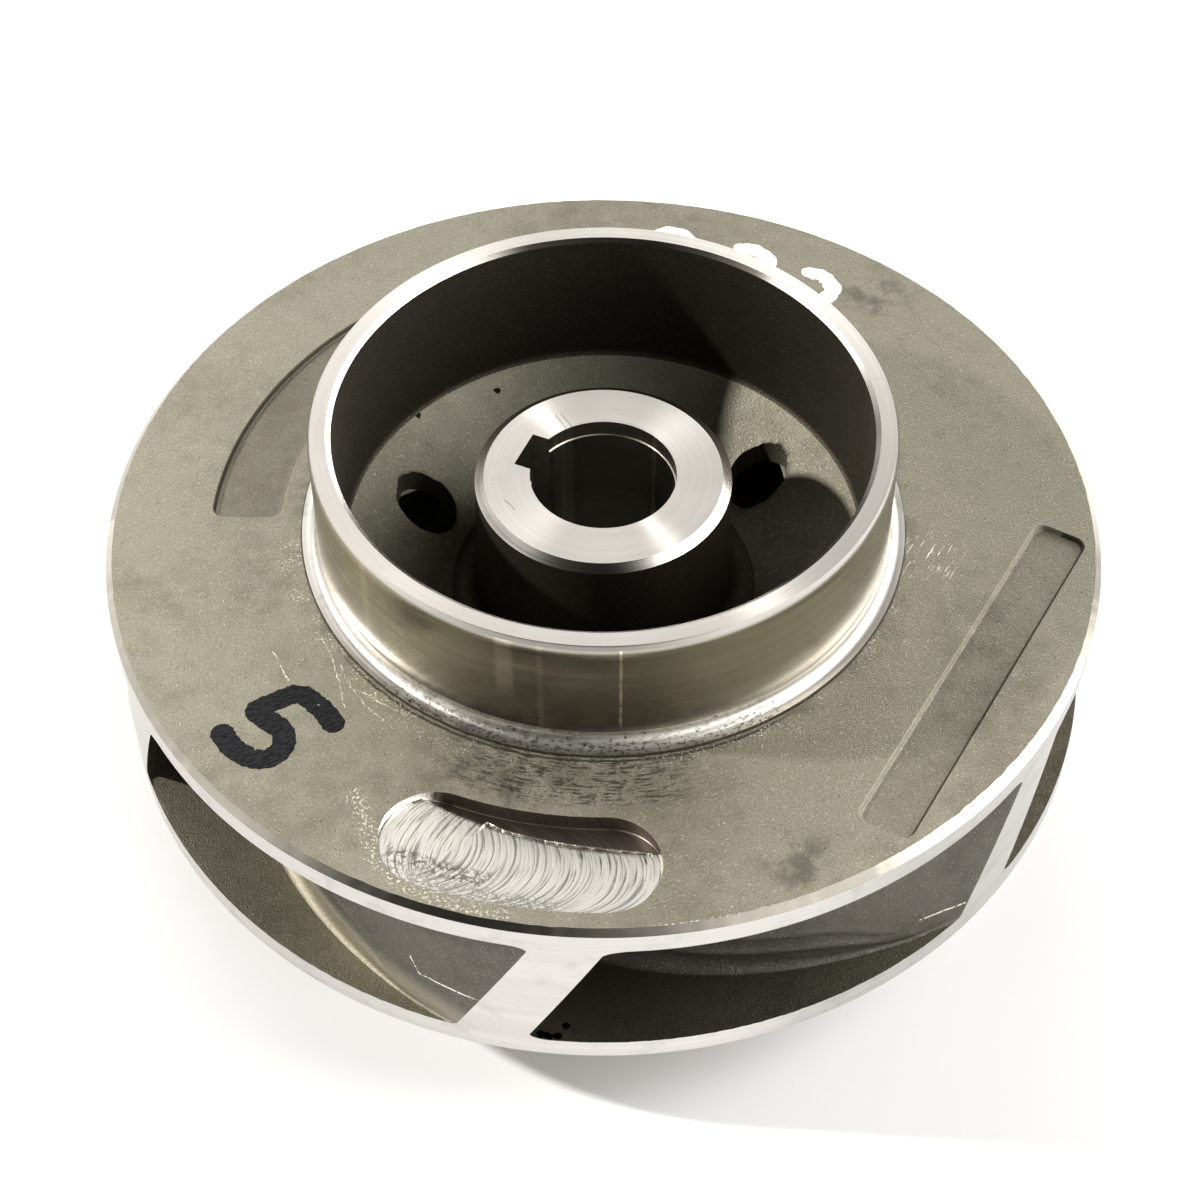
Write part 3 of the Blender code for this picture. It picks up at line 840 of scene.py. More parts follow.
def back_finish(name, looks, recess):
    """Cast skin of the back face with its sunk panels, rub marks, scratches and smudges."""
    net = new_finish(name)
    shade, rough, height = cast_parts(net, looks.cast, looks.cast_dark)
    radius, azimuth, z = net.polar()
    place = net.place()

    # Darker away from the front left
    aside = net.vector("DOT_PRODUCT", place, toward(-130.0, 0.0), "Value")
    shade = net.mix(net.ramp(aside, -0.105, 0.115, 0.33, 0.04), shade, (0.010, 0.010, 0.008))

    # Painted shade in the cast panels: floors darker, walls darker still, outer walls darkest as a painted
    # shadow
    sunk = net.hill(z, 0.0680, 0.0682, 0.0692, 0.0698)
    wall = net.band(z, 0.06904, 0.06985, 0.00006)
    beyond = net.vector("DOT_PRODUCT", place, toward(recess.bar_azimuth * DEGREES, 0.0), "Value")
    curved = net.fade(beyond, 0.0, 0.001)
    outer = net.ramp(beyond, recess.bar_mid - 0.0005, recess.bar_mid + 0.0005)
    outer = outer.most(curved * net.ramp(radius, recess.arc_mid - 0.0005, recess.arc_mid + 0.0005))
    dark = sunk * (curved * 0.20 + 0.20) + wall * (outer * 0.68 + 0.14)
    shade = net.mix(dark.clamped(), shade, (0.070, 0.064, 0.050))
    # Painted highlight along the straight panel's inner wall
    shade = net.mix(wall * (1.0 - outer) * (1.0 - curved) * 0.12, shade, (0.62, 0.59, 0.48))

    # Dark rub marks between the ring and the pocket
    rubbed = net.spot((-0.006, -0.0715, 0.070), 0.012, 0.034) * net.band(radius, 0.0685, 0.0785, 0.003)
    rubs = net.arcs(14.0, 1500.0, 0.48, 0.56) * net.patches(place, 420.0, 0.36, 0.55)
    specks = net.patches(place, 1300.0, 0.56, 0.64, 2.0, 0.6) * 0.6
    shade = net.mix((rubbed * (rubs + specks)).clamped() * 0.85, shade, (0.055, 0.050, 0.040))

    # Bright scratches beside the ring's foot, and the torn edge of the pocket
    shaken = net.shake(330.0, 0.0014)
    broken = net.patches(place, 1900.0, 0.42, 0.52, 2.0, 0.6)
    bright = sum(net.trail(line, 0.00003, 0.00024, shaken) for line in SCRATCHES) * broken
    worn = net.band(azimuth, math.radians(-78.0), math.radians(-24.0), 0.15)
    right = net.band(radius, 0.0702, 0.0790, 0.003) * worn
    right = right * net.arcs(30.0, 2600.0, 0.66, 0.72) * net.patches(place, 330.0, 0.48, 0.60)
    fine = net.spot((0.0715, -0.0120, 0.070), 0.002, 0.011) * net.streaks(60.0, 240.0, 2300.0, 0.60, 0.66)
    dust = net.patches(place, 1900.0, 0.57, 0.65, 2.0, 0.7) * net.patches(place, 210.0, 0.40, 0.56)
    left = net.band(azimuth, math.radians(-172.0), math.radians(-112.0), 0.12)
    left = left * net.fade(radius, 0.0690, 0.0765)
    bright = bright + right + fine + (left + net.fade(radius, 0.0690, 0.0716) * worn) * dust
    # Painted shadow: a thin dark line on the cast face just outside the ring's foot, along its front
    edge = net.band(radius + (net.noise(place, 500.0) - 0.5) * 0.0006, 0.0684, 0.0688, 0.0002)
    edge = edge * net.band(azimuth, math.radians(-136.0), math.radians(-62.0), 0.20)
    shade = net.mix(edge * 0.8, shade, (0.035, 0.031, 0.025))
    torn = net.trail(TORN_EDGE, 0.0004, 0.0030)
    bright = bright + torn * net.patches(place, 1500.0, 0.54, 0.62, 2.0, 0.7)
    burr = net.band(azimuth, math.radians(-84.0), math.radians(-62.0), 0.03)
    burr = burr * net.ramp(radius, 0.10915, 0.10935)
    bright = bright + burr * net.patches(place, 1600.0, 0.52, 0.58, 2.0, 0.6)
    bright = bright.clamped()
    shade = net.mix(bright * 0.85, shade, (0.92, 0.89, 0.78))

    # Smudges, and painted shade in a band round the ring's foot
    smudge_and_shade = sum(net.spot(point, inner, outer) for point, inner, outer in SMUDGES)
    smudge_and_shade = smudge_and_shade + net.band(radius, 0.0600, 0.0690, 0.004) * 0.5
    cloud = net.patches(place, 130.0, 0.42, 0.66, 3.0, 0.65)
    shade = net.mix((smudge_and_shade * cloud * 0.6).clamped(), shade, (0.070, 0.064, 0.052))
    faint = net.spot((0.080, 0.055, 0.070), 0.004, 0.016) * net.streaks(-38.0, 130.0, 2600.0, 0.63, 0.67)
    shade = net.mix(faint * 0.6, shade, (0.05, 0.046, 0.038))
    net.metal(shade, rough - bright * 0.15, net.bump(height, CAST_RELIEF))


def passage_finish(name, tone, stained, pits):
    """Cast skin inside the passages, with painted shade that makes it darkest right of the front tip, and a
    few pits.
    """
    net = new_finish(name)
    shade, rough, height = cast_parts(net, tone, stained, (0.50, 0.46, 0.34), 0.45)
    x = net.split(net.place())[0]
    # Painted shade: the passages darken from the left, where light gets in, towards the right of the front
    # tip
    passage_shade = net.ramp(x, -0.060, 0.004, 0.0, 0.72) * net.ramp(x, 0.030, 0.085, 1.0, 0.6)
    shade = net.mix(passage_shade, shade, (0.010, 0.009, 0.007))
    uneven = net.noise(net.place(), 900.0) * 1.4
    for px, py, pz, size in pits:
        pit = net.spot((px / 1000, py / 1000, pz / 1000), size * 0.0003, size * 0.0012) + uneven
        shade = net.mix(net.ramp(pit, 1.15, 1.30), shade, (0.005, 0.005, 0.004))
    net.metal(shade, rough, net.bump(height, CAST_RELIEF))


def vane_finish(name, tone, stained):
    """Cast skin of the vanes, with a painted highlight along the left one's foot, and the lines scribed on
    two of them.
    """
    net = new_finish(name)
    shade, rough, height = cast_parts(net, tone, stained, (0.46, 0.43, 0.36), 0.35)
    x, z = net.split(net.place())[::2]
    # Painted highlight along the left vane's foot, where its fillet catches the light
    foot_highlight = net.ramp(z, 0.0315, 0.0375, 0.60, 0.0) * net.fade(x, -0.040, -0.012)
    shade = net.mix(foot_highlight, shade, (0.46, 0.42, 0.32))
    broken = net.patches(net.place(), 1400.0, 0.36, 0.50, 2.0, 0.6)
    shaken = net.shake(400.0, 0.0006)
    for line in SCRIBED:
        shade = net.mix(net.trail(line, 0.00008, 0.00030, shaken) * broken, shade, (0.90, 0.88, 0.80))
    net.metal(shade, rough, net.bump(height, CAST_RELIEF))


def turned_finish(name, tone, rough, stretch, groove, depth, stain, shine, marks):
    """Turned metal: grooves round the shaft, spaced along radius and height, and faint mottling.

    stretch is the anisotropy, groove the number of grooves in a metre, depth theirs, and shine the
    brightness of their floors against their crests. marks, where given, changes the colour at last.
    """
    net = new_finish(name)
    radius, azimuth, z = net.polar()
    place = net.place()
    spin = net.join((radius + z) * groove, azimuth * 0.5, 0.0)
    lines = net.noise(spin, 1.0, 2.0, 0.65)
    bands = net.noise(net.join((radius + z) * groove * 0.12, azimuth * 0.4, 3.0), 1.0, 2.0, 0.5)
    fleck = net.noise(place, 520.0, 3.0, 0.7)
    patch = net.noise(place, 60.0, 2.0, 0.5)
    shade = net.mix(net.ramp(lines, 0.30, 0.72), darker(net, tone, shine), tone)
    shade = net.mix(net.ramp(bands, 0.35, 0.75) * 0.15, shade, (0.93, 0.90, 0.85))
    shade = net.mix(net.ramp(fleck, 0.58, 0.76) * 0.28, shade, (0.36, 0.33, 0.30))
    if stain:
        dirt = net.patches(place, 150.0, 0.50, 0.72, 3.0, 0.7) * stain
        shade = net.mix(dirt, shade, (0.10, 0.085, 0.06))
    if marks:
        shade = marks(net, shade, azimuth, z)
    gloss = rough + (patch - 0.5) * 0.10 + (lines - 0.5) * 0.08
    net.metal(shade, gloss, net.bump(lines, depth), stretch=stretch)


def nicked(net, shade, azimuth, z):
    """Turned faces: the short dark nicks."""
    for nick in NICKS:
        line = net.trail(nick, 0.00004, 0.00018, net.shake(700.0, 0.0003))
        shade = net.mix(line * 0.7, shade, (0.12, 0.11, 0.10))
    return shade


def wall_marks(net, shade, azimuth, z):
    """Ring wall: darker towards the front foot, with upright painted highlights where lamps reflect, and fine
    cross scratches.
    """
    degrees = azimuth * DEGREES
    dull = net.hill(degrees, -138.0, -112.0, -84.0, -58.0) * net.ramp(z, 0.074, 0.093, 1.0, 0.25)
    shade = net.mix(dull * 0.62, shade, (0.075, 0.066, 0.050))
    # Painted highlights: upright bright bands where lamps reflect in the turned wall
    wavy = (net.noise(net.join(z * 900.0, 0.0, 0.0), 1.0, 2.0) - 0.5) * 0.5
    broad = net.band(degrees, -109.6, -107.4, 1.1) * net.ramp(z, 0.079, 0.088)
    thin = net.band(degrees + wavy, -87.05, -86.65, 0.14) * net.ramp(z, 0.074, 0.077)
    thin = thin * net.ramp(net.noise(net.place(), 500.0), 0.30, 0.60, 0.25, 1.0)
    faint = net.band(degrees, -102.0, -101.4, 0.5) + net.band(degrees, -141.8, -140.6, 0.7)
    shade = net.mix((broad * 0.30 + thin * 0.85 + faint * 0.14).clamped(), shade, (0.95, 0.88, 0.74))
    cross = net.patches(net.join(z * 5200.0, azimuth * 3.0, 1.0), 1.0, 0.66, 0.70, 1.0)
    cross = cross * net.band(degrees, -112.0, -96.0, 5.0) * net.band(z, 0.0865, 0.0925, 0.002)
    return net.mix(cross * 0.35, shade, (0.80, 0.76, 0.68))


def front_tarnish(net, shade, azimuth, z, share=0.9):
    """Bevels: painted dark reflection towards the front, grey at the left of it and brown at the right."""
    degrees = azimuth * DEGREES
    front = net.hill(degrees, -138.0, -106.0, -88.0, -62.0)
    reflected = net.mix(net.ramp(degrees, -128.0, -100.0), (0.120, 0.125, 0.115), (0.080, 0.066, 0.056))
    return net.mix(front * share, shade, reflected)


def inner_tarnish(net, shade, azimuth, z):
    """Ring's inner bevel: painted dark reflection at the front, and darker at the far side and at the right.
    """
    degrees = azimuth * DEGREES
    far = net.band(degrees, 55.0, 106.0, 9.0) * 0.85 + net.band(degrees, 4.0, 44.0, 12.0) * 0.40
    shade = front_tarnish(net, shade, azimuth, z)
    return net.mix(far, shade, (0.085, 0.072, 0.058))


def outer_tarnish(net, shade, azimuth, z):
    """Ring's outer bevel: greyer than the land, with a painted dark reflection at the front."""
    shade = net.mix(0.42, shade, (0.21, 0.20, 0.175))
    return front_tarnish(net, shade, azimuth, z, 0.6)


def foot_stains(net, shade, azimuth, z):
    """Ring's foot: paler at the front, with whitish flakes and black specks."""
    degrees = azimuth * DEGREES
    place = net.place()
    front = net.hill(degrees, -138.0, -116.0, -84.0, -62.0)
    shade = net.mix(front * 0.28, shade, (0.70, 0.67, 0.58))
    flaky = net.band(degrees, -132.0, -96.0, 10.0)
    flakes = net.patches(place, 420.0, 0.50, 0.56, 3.0, 0.7) * flaky
    shade = net.mix(flakes * 0.7, shade, (0.86, 0.84, 0.76))
    smears = net.arcs(55.0, 1500.0, 0.53, 0.60) * net.ramp(z, 0.0706, 0.0722, 1.0, 0.35)
    specks = smears * 0.75 + net.patches(place, 1100.0, 0.66, 0.70)
    specks = (specks * net.band(degrees, -128.0, -60.0, 8.0)).clamped()
    return net.mix(specks * 0.9, shade, (0.035, 0.030, 0.024))


def bore_marks(net, shade, azimuth, z):
    """Bore: painted highlights, an upright pale band with a bright line in it and an upright wavy bright line
    across from it.
    """
    degrees = azimuth * DEGREES
    wavy = (net.noise(net.join(z * 300.0, 0.0, 0.0), 1.0, 2.0) - 0.5) * 5.0
    left = net.band(degrees, 118.0, 132.0, 5.0) * 0.55
    left = left + net.band(degrees + wavy * 0.3, 124.0, 125.2, 0.6) * 0.4
    right = net.band(degrees + wavy, 43.0, 46.0, 1.5) * 0.95
    return net.mix((left + right).clamped(), shade, (0.98, 0.96, 0.90))


def rim_bevel_finish(name, tone):
    """Turned bevel of the rim, with a painted dark reflection at the front, and darker at the right."""
    net = new_finish(name)
    radius, azimuth, z = net.polar()
    lines = net.noise(net.join((radius + z) * 3000.0, azimuth * 2.0, 0.0), 1.0, 3.0, 0.6)
    degrees = azimuth * DEGREES
    dull = net.band(degrees, -38.0, -8.0, 10.0) * 0.50 + net.ramp(degrees, 30.0, 46.0) * 0.40
    shade = net.mix(dull, tone, (0.10, 0.09, 0.07))
    shade = front_tarnish(net, shade, azimuth, z, 0.62)
    shade = net.mix(net.ramp(lines, 0.35, 0.70) * 0.12, shade, (0.55, 0.52, 0.48))
    net.metal(shade, 0.24 + (lines - 0.5) * 0.1, net.bump(lines, 0.00001), stretch=0.6)


def milled_finish(name, tone, recess):
    """Milled floor: arcs of the cutter's leading edge, one for each step of its path.

    The arc through a point starts from the cutter centre that lies sqrt(R^2 - n^2) behind it, where
    n is the distance from the path; towards the start the arcs of its trailing edge show instead.
    """
    net = new_finish(name)
    radius, azimuth = net.polar()[:2]
    place = net.place()
    degrees = azimuth * DEGREES
    aside = radius - recess.pocket_mid
    reach = (aside * aside * -1.0 + recess.pocket_half ** 2).most(0.0) ** 0.5
    along = azimuth * recess.pocket_mid
    leading = net.noise(net.join((along - reach) * 1700.0, aside * 70.0, 0.0), 1.0, 2.0, 0.6)
    trailing = net.noise(net.join((along + reach * 0.6) * 1900.0, aside * 90.0, 7.0), 1.0, 2.0, 0.6)
    coarse = net.noise(net.join((along - reach) * 560.0, aside * 40.0, 5.0), 1.0, 2.0, 0.6)
    lines = net.mix(net.fade(degrees + aside * 300.0, -109.5, -107.5), leading, trailing)
    fine = net.split(lines)[0]
    cloud = net.noise(place, 190.0, 3.0, 0.7)
    shade = net.mix(net.ramp(lines, 0.34, 0.52), darker(net, tone, 0.38), tone)
    shade = net.mix(net.ramp(coarse * 0.5 + cloud * 0.5, 0.52, 0.66) * 0.22, shade, (0.46, 0.38, 0.36))

    # Gaps between the cutter's steps, torn crosswise scratches at the outer side, stains at the left
    gaps = net.band(aside, -0.0030, 0.0028, 0.0012) * net.ramp(fine * 0.6 + coarse * 0.4, 0.47, 0.40)
    gaps = gaps * net.ramp(degrees, -97.0, -93.0) * net.ramp(cloud, 0.42, 0.52)
    shade = net.mix(gaps * 0.92, shade, (0.10, 0.082, 0.078))
    stained = net.band(aside, 0.0045, 0.0070, 0.0015) * net.band(degrees, -115.0, -104.0, 2.0)
    stained = stained * net.patches(place, 800.0, 0.46, 0.58, 2.0, 0.7)
    shade = net.mix(stained * 0.8, shade, (0.17, 0.130, 0.120))
    outer = net.ramp(aside, 0.0072, 0.0088) * net.ramp(degrees, -92.0, -97.0)
    torn = net.patches(place, 1500.0, 0.44, 0.56, 2.0, 0.75)
    shade = net.mix(outer * torn * 0.7, shade, (0.33, 0.30, 0.26))

    # The steep inner pass mirrors the dark side of the room, but for its start
    ridge = recess.pocket_mid - recess.pocket_half + recess.pocket_split
    ridge = ridge - recess.pocket_skew * recess.pocket_turn
    oblique = radius - azimuth * recess.pocket_skew + (coarse - 0.5) * 0.0006
    inner = net.fade(oblique, ridge - 0.0003, ridge + 0.0002)
    inner = inner * net.ramp(degrees + radius * 620.0, -63.5, -61.5)
    shade = net.mix(inner * 0.92, shade, (0.105, 0.080, 0.066))
    shade = net.mix(inner * net.ramp(fine, 0.60, 0.68) * 0.25, shade, (0.60, 0.45, 0.38))
    gloss = 0.26 + (coarse - 0.5) * 0.2 + inner * 0.20
    height = fine * 0.7 + coarse * 0.5
    net.metal(shade, gloss, net.bump(height, 0.00005))


def ink_finish(name, tone):
    """Black marker ink, wrinkled along its fibres, with a few blasted tips that show through."""
    net = new_finish(name)
    place = net.place()
    wrinkle = net.streaks(25.0, 700.0, 1900.0, 0.40, 0.62, 3.0)
    grit = net.cells(place, 900.0)
    tip = net.fade(grit["Distance"], 0.12, 0.22) * net.ramp(net.split(grit["Color"])[0], 0.93, 0.95)
    shade = net.mix(wrinkle, tone, (0.020, 0.021, 0.024))
    shade = net.mix(tip * 0.8, shade, (0.45, 0.44, 0.42))
    net.metal(shade, 0.5 + wrinkle * 0.2, net.bump(wrinkle, 0.00012), metallic=0.0, specular=0.12)


def paint_finish(name, tone):
    """White brushed paint, a little thinner along its streaks."""
    net = new_finish(name)
    thin = net.patches(net.place(), 420.0, 0.55, 0.80, 3.0, 0.6)
    shade = net.mix(thin * 0.35, tone, (0.62, 0.63, 0.60))
    net.metal(shade, 0.5, net.bump(net.noise(net.place(), 900.0), 0.00006), metallic=0.0)


def burr_finish(name):
    """Bright torn metal of a burr."""
    net = new_finish(name)
    torn = net.noise(net.place(), 2500.0, 3.0, 0.7)
    net.metal(net.mix(torn, (0.98, 0.95, 0.88), (0.75, 0.71, 0.64)), 0.30, net.bump(torn, 0.00010))


# Pieces


# How far hidden sheets reach under their neighbours
UNDERLAP = 0.0012

# Windows in the grid of the back face, one for each recess: lowest and highest radius and azimuth
POCKET_WINDOW = (0.0810, math.radians(-121.0)), (0.1074, math.radians(-80.0))
BAR_WINDOW = (0.0832, math.radians(-61.0)), (0.1094, math.radians(1.5))
ARC_WINDOW = (0.0710, math.radians(105.5)), (0.0896, math.radians(182.5))

# Outermost line of that grid, before it is drawn to the ragged edge of the bevel, and the radius
# from which on the lines are drawn
FACE_END, FACE_DRAWN = 0.10957, 0.1040

# Walls of the cast panels: how far they reach inwards
PANEL_WALL = 0.0009

# Balance holes: size of their windows against their own, unevenness of their edge, and the lip
# round their mouths with its own unevenness and width
HOLE_WINDOW, HOLE_RAGGED = 1.28, 0.00013
LIP, LIP_RAGGED, LIP_WIDTH = 0.00022, 0.00012, 0.00035

# Folds along a vane's foot: height of each over the shroud and how far it stands out, and their width
FOLDS = ((0.0052, 0.00045), (0.0098, 0.00032))
FOLD_WIDTH = 0.0009

# Seeds of the uneven lines; a second line of the same piece takes the next number
RIM_SEED, RING_SEED, FRONT_SEED, HOLE_SEED, LIP_SEED = 5, 8, 11, 20, 30
NUMERAL_SEED, DIGIT_SEED, BURR_SEED = 40, 60, 80

# How far the films of ink, paint and burr sink into what carries them
FILM_SINK = 0.00001


def dress(obj, slot, *nodes):
    """Lets a piece ride on the impeller, and stand for its CAD nodes where it has any."""
    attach(obj, "root")
    if nodes:
        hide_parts(*nodes)


def rim_radius(discs, azimuth):
    """Radius where the rim's bevel meets the cast face: ragged, and further in at the right front."""
    wide = smooth(azimuth, math.radians(-84), math.radians(-62))
    wide = wide * smooth(-azimuth, math.radians(18), math.radians(46))
    ragged = ripple(azimuth, RIM_SEED, range(3, 14), 0.8) * 0.00005
    ragged = ragged + ripple(azimuth, RIM_SEED + 1, range(40, 190, 3), 0.3) * 0.00004
    return discs.outer_r - discs.bevel_r - wide * 0.00045 + ragged * (1.0 + 0.4 * wide)


def build_back_disc(scene):
    """Back shroud as one closed skin: top with its recesses, rim, underside, cup floor and holes."""
    discs, cup, rings = scene.impeller_discs, scene.impeller_cup, scene.impeller_rings
    recess = scene.impeller_recesses
    shell, around = Shell(), azimuths()
    column = around[:, None]

    # Top face: turning lines from under the ring's foot to the ragged edge of the bevel
    under = rings.foot_r - UNDERLAP
    lines = np.concatenate(([rings.in_r, under], np.linspace(under + 0.0014, 0.1085, 26), [FACE_END]))
    edge = rim_radius(discs, around)[:, None]
    plan = turn(lines + (edge - FACE_END) * smooth(lines, FACE_DRAWN, FACE_END), column)
    top = lambda points: np.full(points.shape, discs.back_top)
    pocket = kidney_outline(recess.pocket_mid, recess.pocket_half, recess.pocket_start, recess.pocket_end)
    bar, arc = placed_bar(recess), bent_bar(recess)
    windows = [window_of(around, lines, *window) for window in (POCKET_WINDOW, BAR_WINDOW, ARC_WINDOW)]
    shell.sheet(lift(plan, discs.back_top), "back_skin", cells_outside(plan.shape, windows))
    shares = [fit_window(shell, plan, top, *window, *shape, "back_skin")
              for window, shape in zip(windows, (pocket, bar, arc))]

    # Milled pocket: wall down from the outline, a tight corner, then a floor that rises outwards
    wall = [0.0, 0.00004, 0.00010, 0.00022, 0.00040, 0.00065]
    insets = np.concatenate((wall, np.linspace(0.0012, recess.pocket_half, 30)))
    sink = np.interp(insets, [0.0, 0.00010, 0.00022, 0.00040, 0.00065], [0.0, 0.80, 0.93, 0.985, 1.0])
    loops = np.stack([pocket[0](shares[0], inset) for inset in insets])
    depth = pocket_depth(recess, loops)
    shell.sheet(lift(loops, discs.back_top - depth * sink[:, None]), "milled_floor")

    # Cast panels: soft walls and flat floors
    for (outline, corners), panel_shares, half in ((bar, shares[1], recess.bar_width / 2),
                                                   (arc, shares[2], recess.arc_half)):
        insets = np.concatenate((np.linspace(0.0, PANEL_WALL, 9), np.linspace(PANEL_WALL + 0.0005, half, 6)))
        sink = smooth(insets, -0.0001, PANEL_WALL)
        sink[0] = 0.0
        loops = np.stack([outline(panel_shares, inset) for inset in insets])
        shell.sheet(lift(loops, discs.back_top - recess.panel_depth * sink[:, None]), "back_skin")

    # Turned bevel and rim band
    bevel_z = discs.back_top - discs.bevel_h
    bevel = np.stack((edge[:, 0], np.full(len(around), discs.outer_r)), axis=1)
    shell.sheet(lift(turn(bevel, column), np.array([discs.back_top, bevel_z])), "bevel_face")
    band = line_profile((discs.outer_r, bevel_z), (discs.outer_r, discs.back_edge), 3)
    turned_sheet(shell, band, "turned_rim", around)

    # Lines of the underside and of the cup's floor, which share those near the hub
    core = scene.impeller_hub.root_r - UNDERLAP
    lean = math.atan(cup.slope + 2 * cup.curvature * (rings.in_r - cup.corner - cup.ref_r))
    end_r = rings.in_r - cup.corner * (1.0 - math.sin(lean))
    cup_r = np.linspace(core, end_r, 26)
    under_r = np.concatenate((cup_r, np.linspace(0.0605, discs.ceiling_start, 18),
                              np.linspace(0.0850, discs.outer_r, 5)))
    under_plan, cup_plan = turn(under_r, column), turn(cup_r, column)
    ceiling = lambda points: ceiling_height(discs, np.abs(points))
    bottom = lambda points: cup_height(cup, np.abs(points))

    # The cup's corner with its wall up to the ring, and the seam at the hub
    centre_z = cup_height(cup, end_r) + cup.corner * math.cos(lean)
    bend = arc_profile(rings.in_r - cup.corner, centre_z, cup.corner, -90.0 + math.degrees(lean), 0.0, 5)
    turned_sheet(shell, np.concatenate((bend, [[rings.in_r, discs.back_top]])), "cup_wall_skin", around)
    seam = np.array([[core, ceiling_height(discs, core)], [core, cup_height(cup, core)]])
    turned_sheet(shell, seam, "cup_skin", around)

    # Balance holes, with ragged mouths and low lips
    windows = []
    reach = cup.hole_r * HOLE_WINDOW
    swing = reach / cup.hole_pitch
    for index in range(cup.hole_count):
        azimuth = cup.hole_azimuth + index * 2 * math.pi / cup.hole_count
        azimuth = (azimuth - FIRST_TURN) % (2 * math.pi) + FIRST_TURN
        low, high = (cup.hole_pitch - reach, azimuth - swing), (cup.hole_pitch + reach, azimuth + swing)
        circle, corners = circle_outline(turn(cup.hole_pitch, azimuth), cup.hole_r, azimuth)

        def ragged(share, inset=0.0, seed=index, hole=circle):
            uneven = ripple(2 * np.pi * share, HOLE_SEED + seed, range(2, 9), 0.7) * HOLE_RAGGED
            return hole(share, inset + uneven)

        def lip(gap, share, seed=index):
            rise = LIP + LIP_RAGGED * ripple(2 * np.pi * share, LIP_SEED + seed, range(3, 30), 0.4)
            return rise * np.exp(-gap / LIP_WIDTH)

        windows.append(window_of(around, cup_r, low, high))
        mouth_shares = fit_window(shell, cup_plan, bottom, *windows[-1], ragged, corners, "cup_skin", lip)
        fit_window(shell, under_plan, ceiling, *windows[-1], ragged, corners, "passage_skin")
        mouth = ragged(mouth_shares)
        rows = np.linspace(0.0, 1.0, 6)[:, None]
        rim_z = bottom(mouth) + lip(0.0, mouth_shares)
        shell.sheet(lift(mouth + 0.0 * rows, rim_z * (1 - rows) + ceiling(mouth) * rows), "cup_skin")
    for plan, height, finish in ((under_plan, ceiling, "passage_skin"), (cup_plan, bottom, "cup_skin")):
        shell.sheet(lift(plan, height(plan)), finish, cells_outside(plan.shape, windows))
    dress(shell.build("back_disc"), "cast_steel", "back_shroud")


def build_back_ring(scene):
    """Back wear ring: cast inner wall, turned bevels and land, fine turned wall, fillet and foot."""
    rings, discs = scene.impeller_rings, scene.impeller_discs
    shell, around = Shell(), azimuths()
    base, top = discs.back_top, rings.top
    foot, ledge_r = base + rings.foot_h, rings.foot_r - 0.0002
    ragged = ripple(around, RING_SEED, range(5, 160, 3), 0.35)[:, None] * 0.00005
    inner_edge, outer_edge = (rings.in_r, top - rings.in_bevel), (rings.out_r, top - rings.out_bevel)
    wall_foot = (rings.out_r, foot + rings.fillet)
    for start, end, steps, finish in (
            ((rings.in_r, base), inner_edge, 8, "cup_wall_skin"),
            (inner_edge, (rings.land_in, top), 1, "inner_bevel"),
            ((rings.land_in, top), (rings.land_out, top), 2, "turned_face"),
            ((rings.land_out, top), outer_edge, 1, "outer_bevel"),
            (outer_edge, wall_foot, 8, "ring_wall")):
        turned_sheet(shell, line_profile(start, end, steps), finish, around)
    bend = arc_profile(rings.out_r + rings.fillet, wall_foot[1], rings.fillet, 180.0, 270.0, 8)
    turned_sheet(shell, np.concatenate((bend, [[ledge_r, foot]])), "ring_foot", around)
    lip = np.array([[ledge_r, foot], [rings.foot_r, foot - 0.0002], [rings.foot_r + 0.0001, base]])
    turned_sheet(shell, lip, "cup_wall_skin", around, ragged * [0.0, 0.5, 1.0])
    hidden = np.array([[rings.foot_r + 0.0001, base], [rings.foot_r - 0.0008, base - 0.0003],
                       [rings.in_r + 0.0008, base - 0.0003], [rings.in_r, base]])
    turned_sheet(shell, hidden, "cup_wall_skin", around, ragged * [1.0, 0.0, 0.0, 0.0])
    dress(shell.build("back_ring"), "machined_steel", "back_wear_ring")


def key_radius(hub, azimuth, bore):
    """Radius of the bore with its keyway: the bore's, or that of the slot's two sides and floor."""
    swing = np.abs(np.mod(azimuth - hub.key_azimuth + np.pi, 2 * np.pi) - np.pi)
    swing = np.maximum(swing, 1e-6)
    slot = np.minimum(hub.key_width / 2 / np.sin(swing), hub.key_r / np.cos(np.minimum(swing, 1.4)))
    return np.where(swing < math.asin(hub.key_width / 2 / bore), slot, bore)


# Turning lines of the hub, and the finer ones round the keyway with half the angle that they span
HUB_TURNS, KEY_TURNS, KEY_SPAN = 420, 41, 0.33


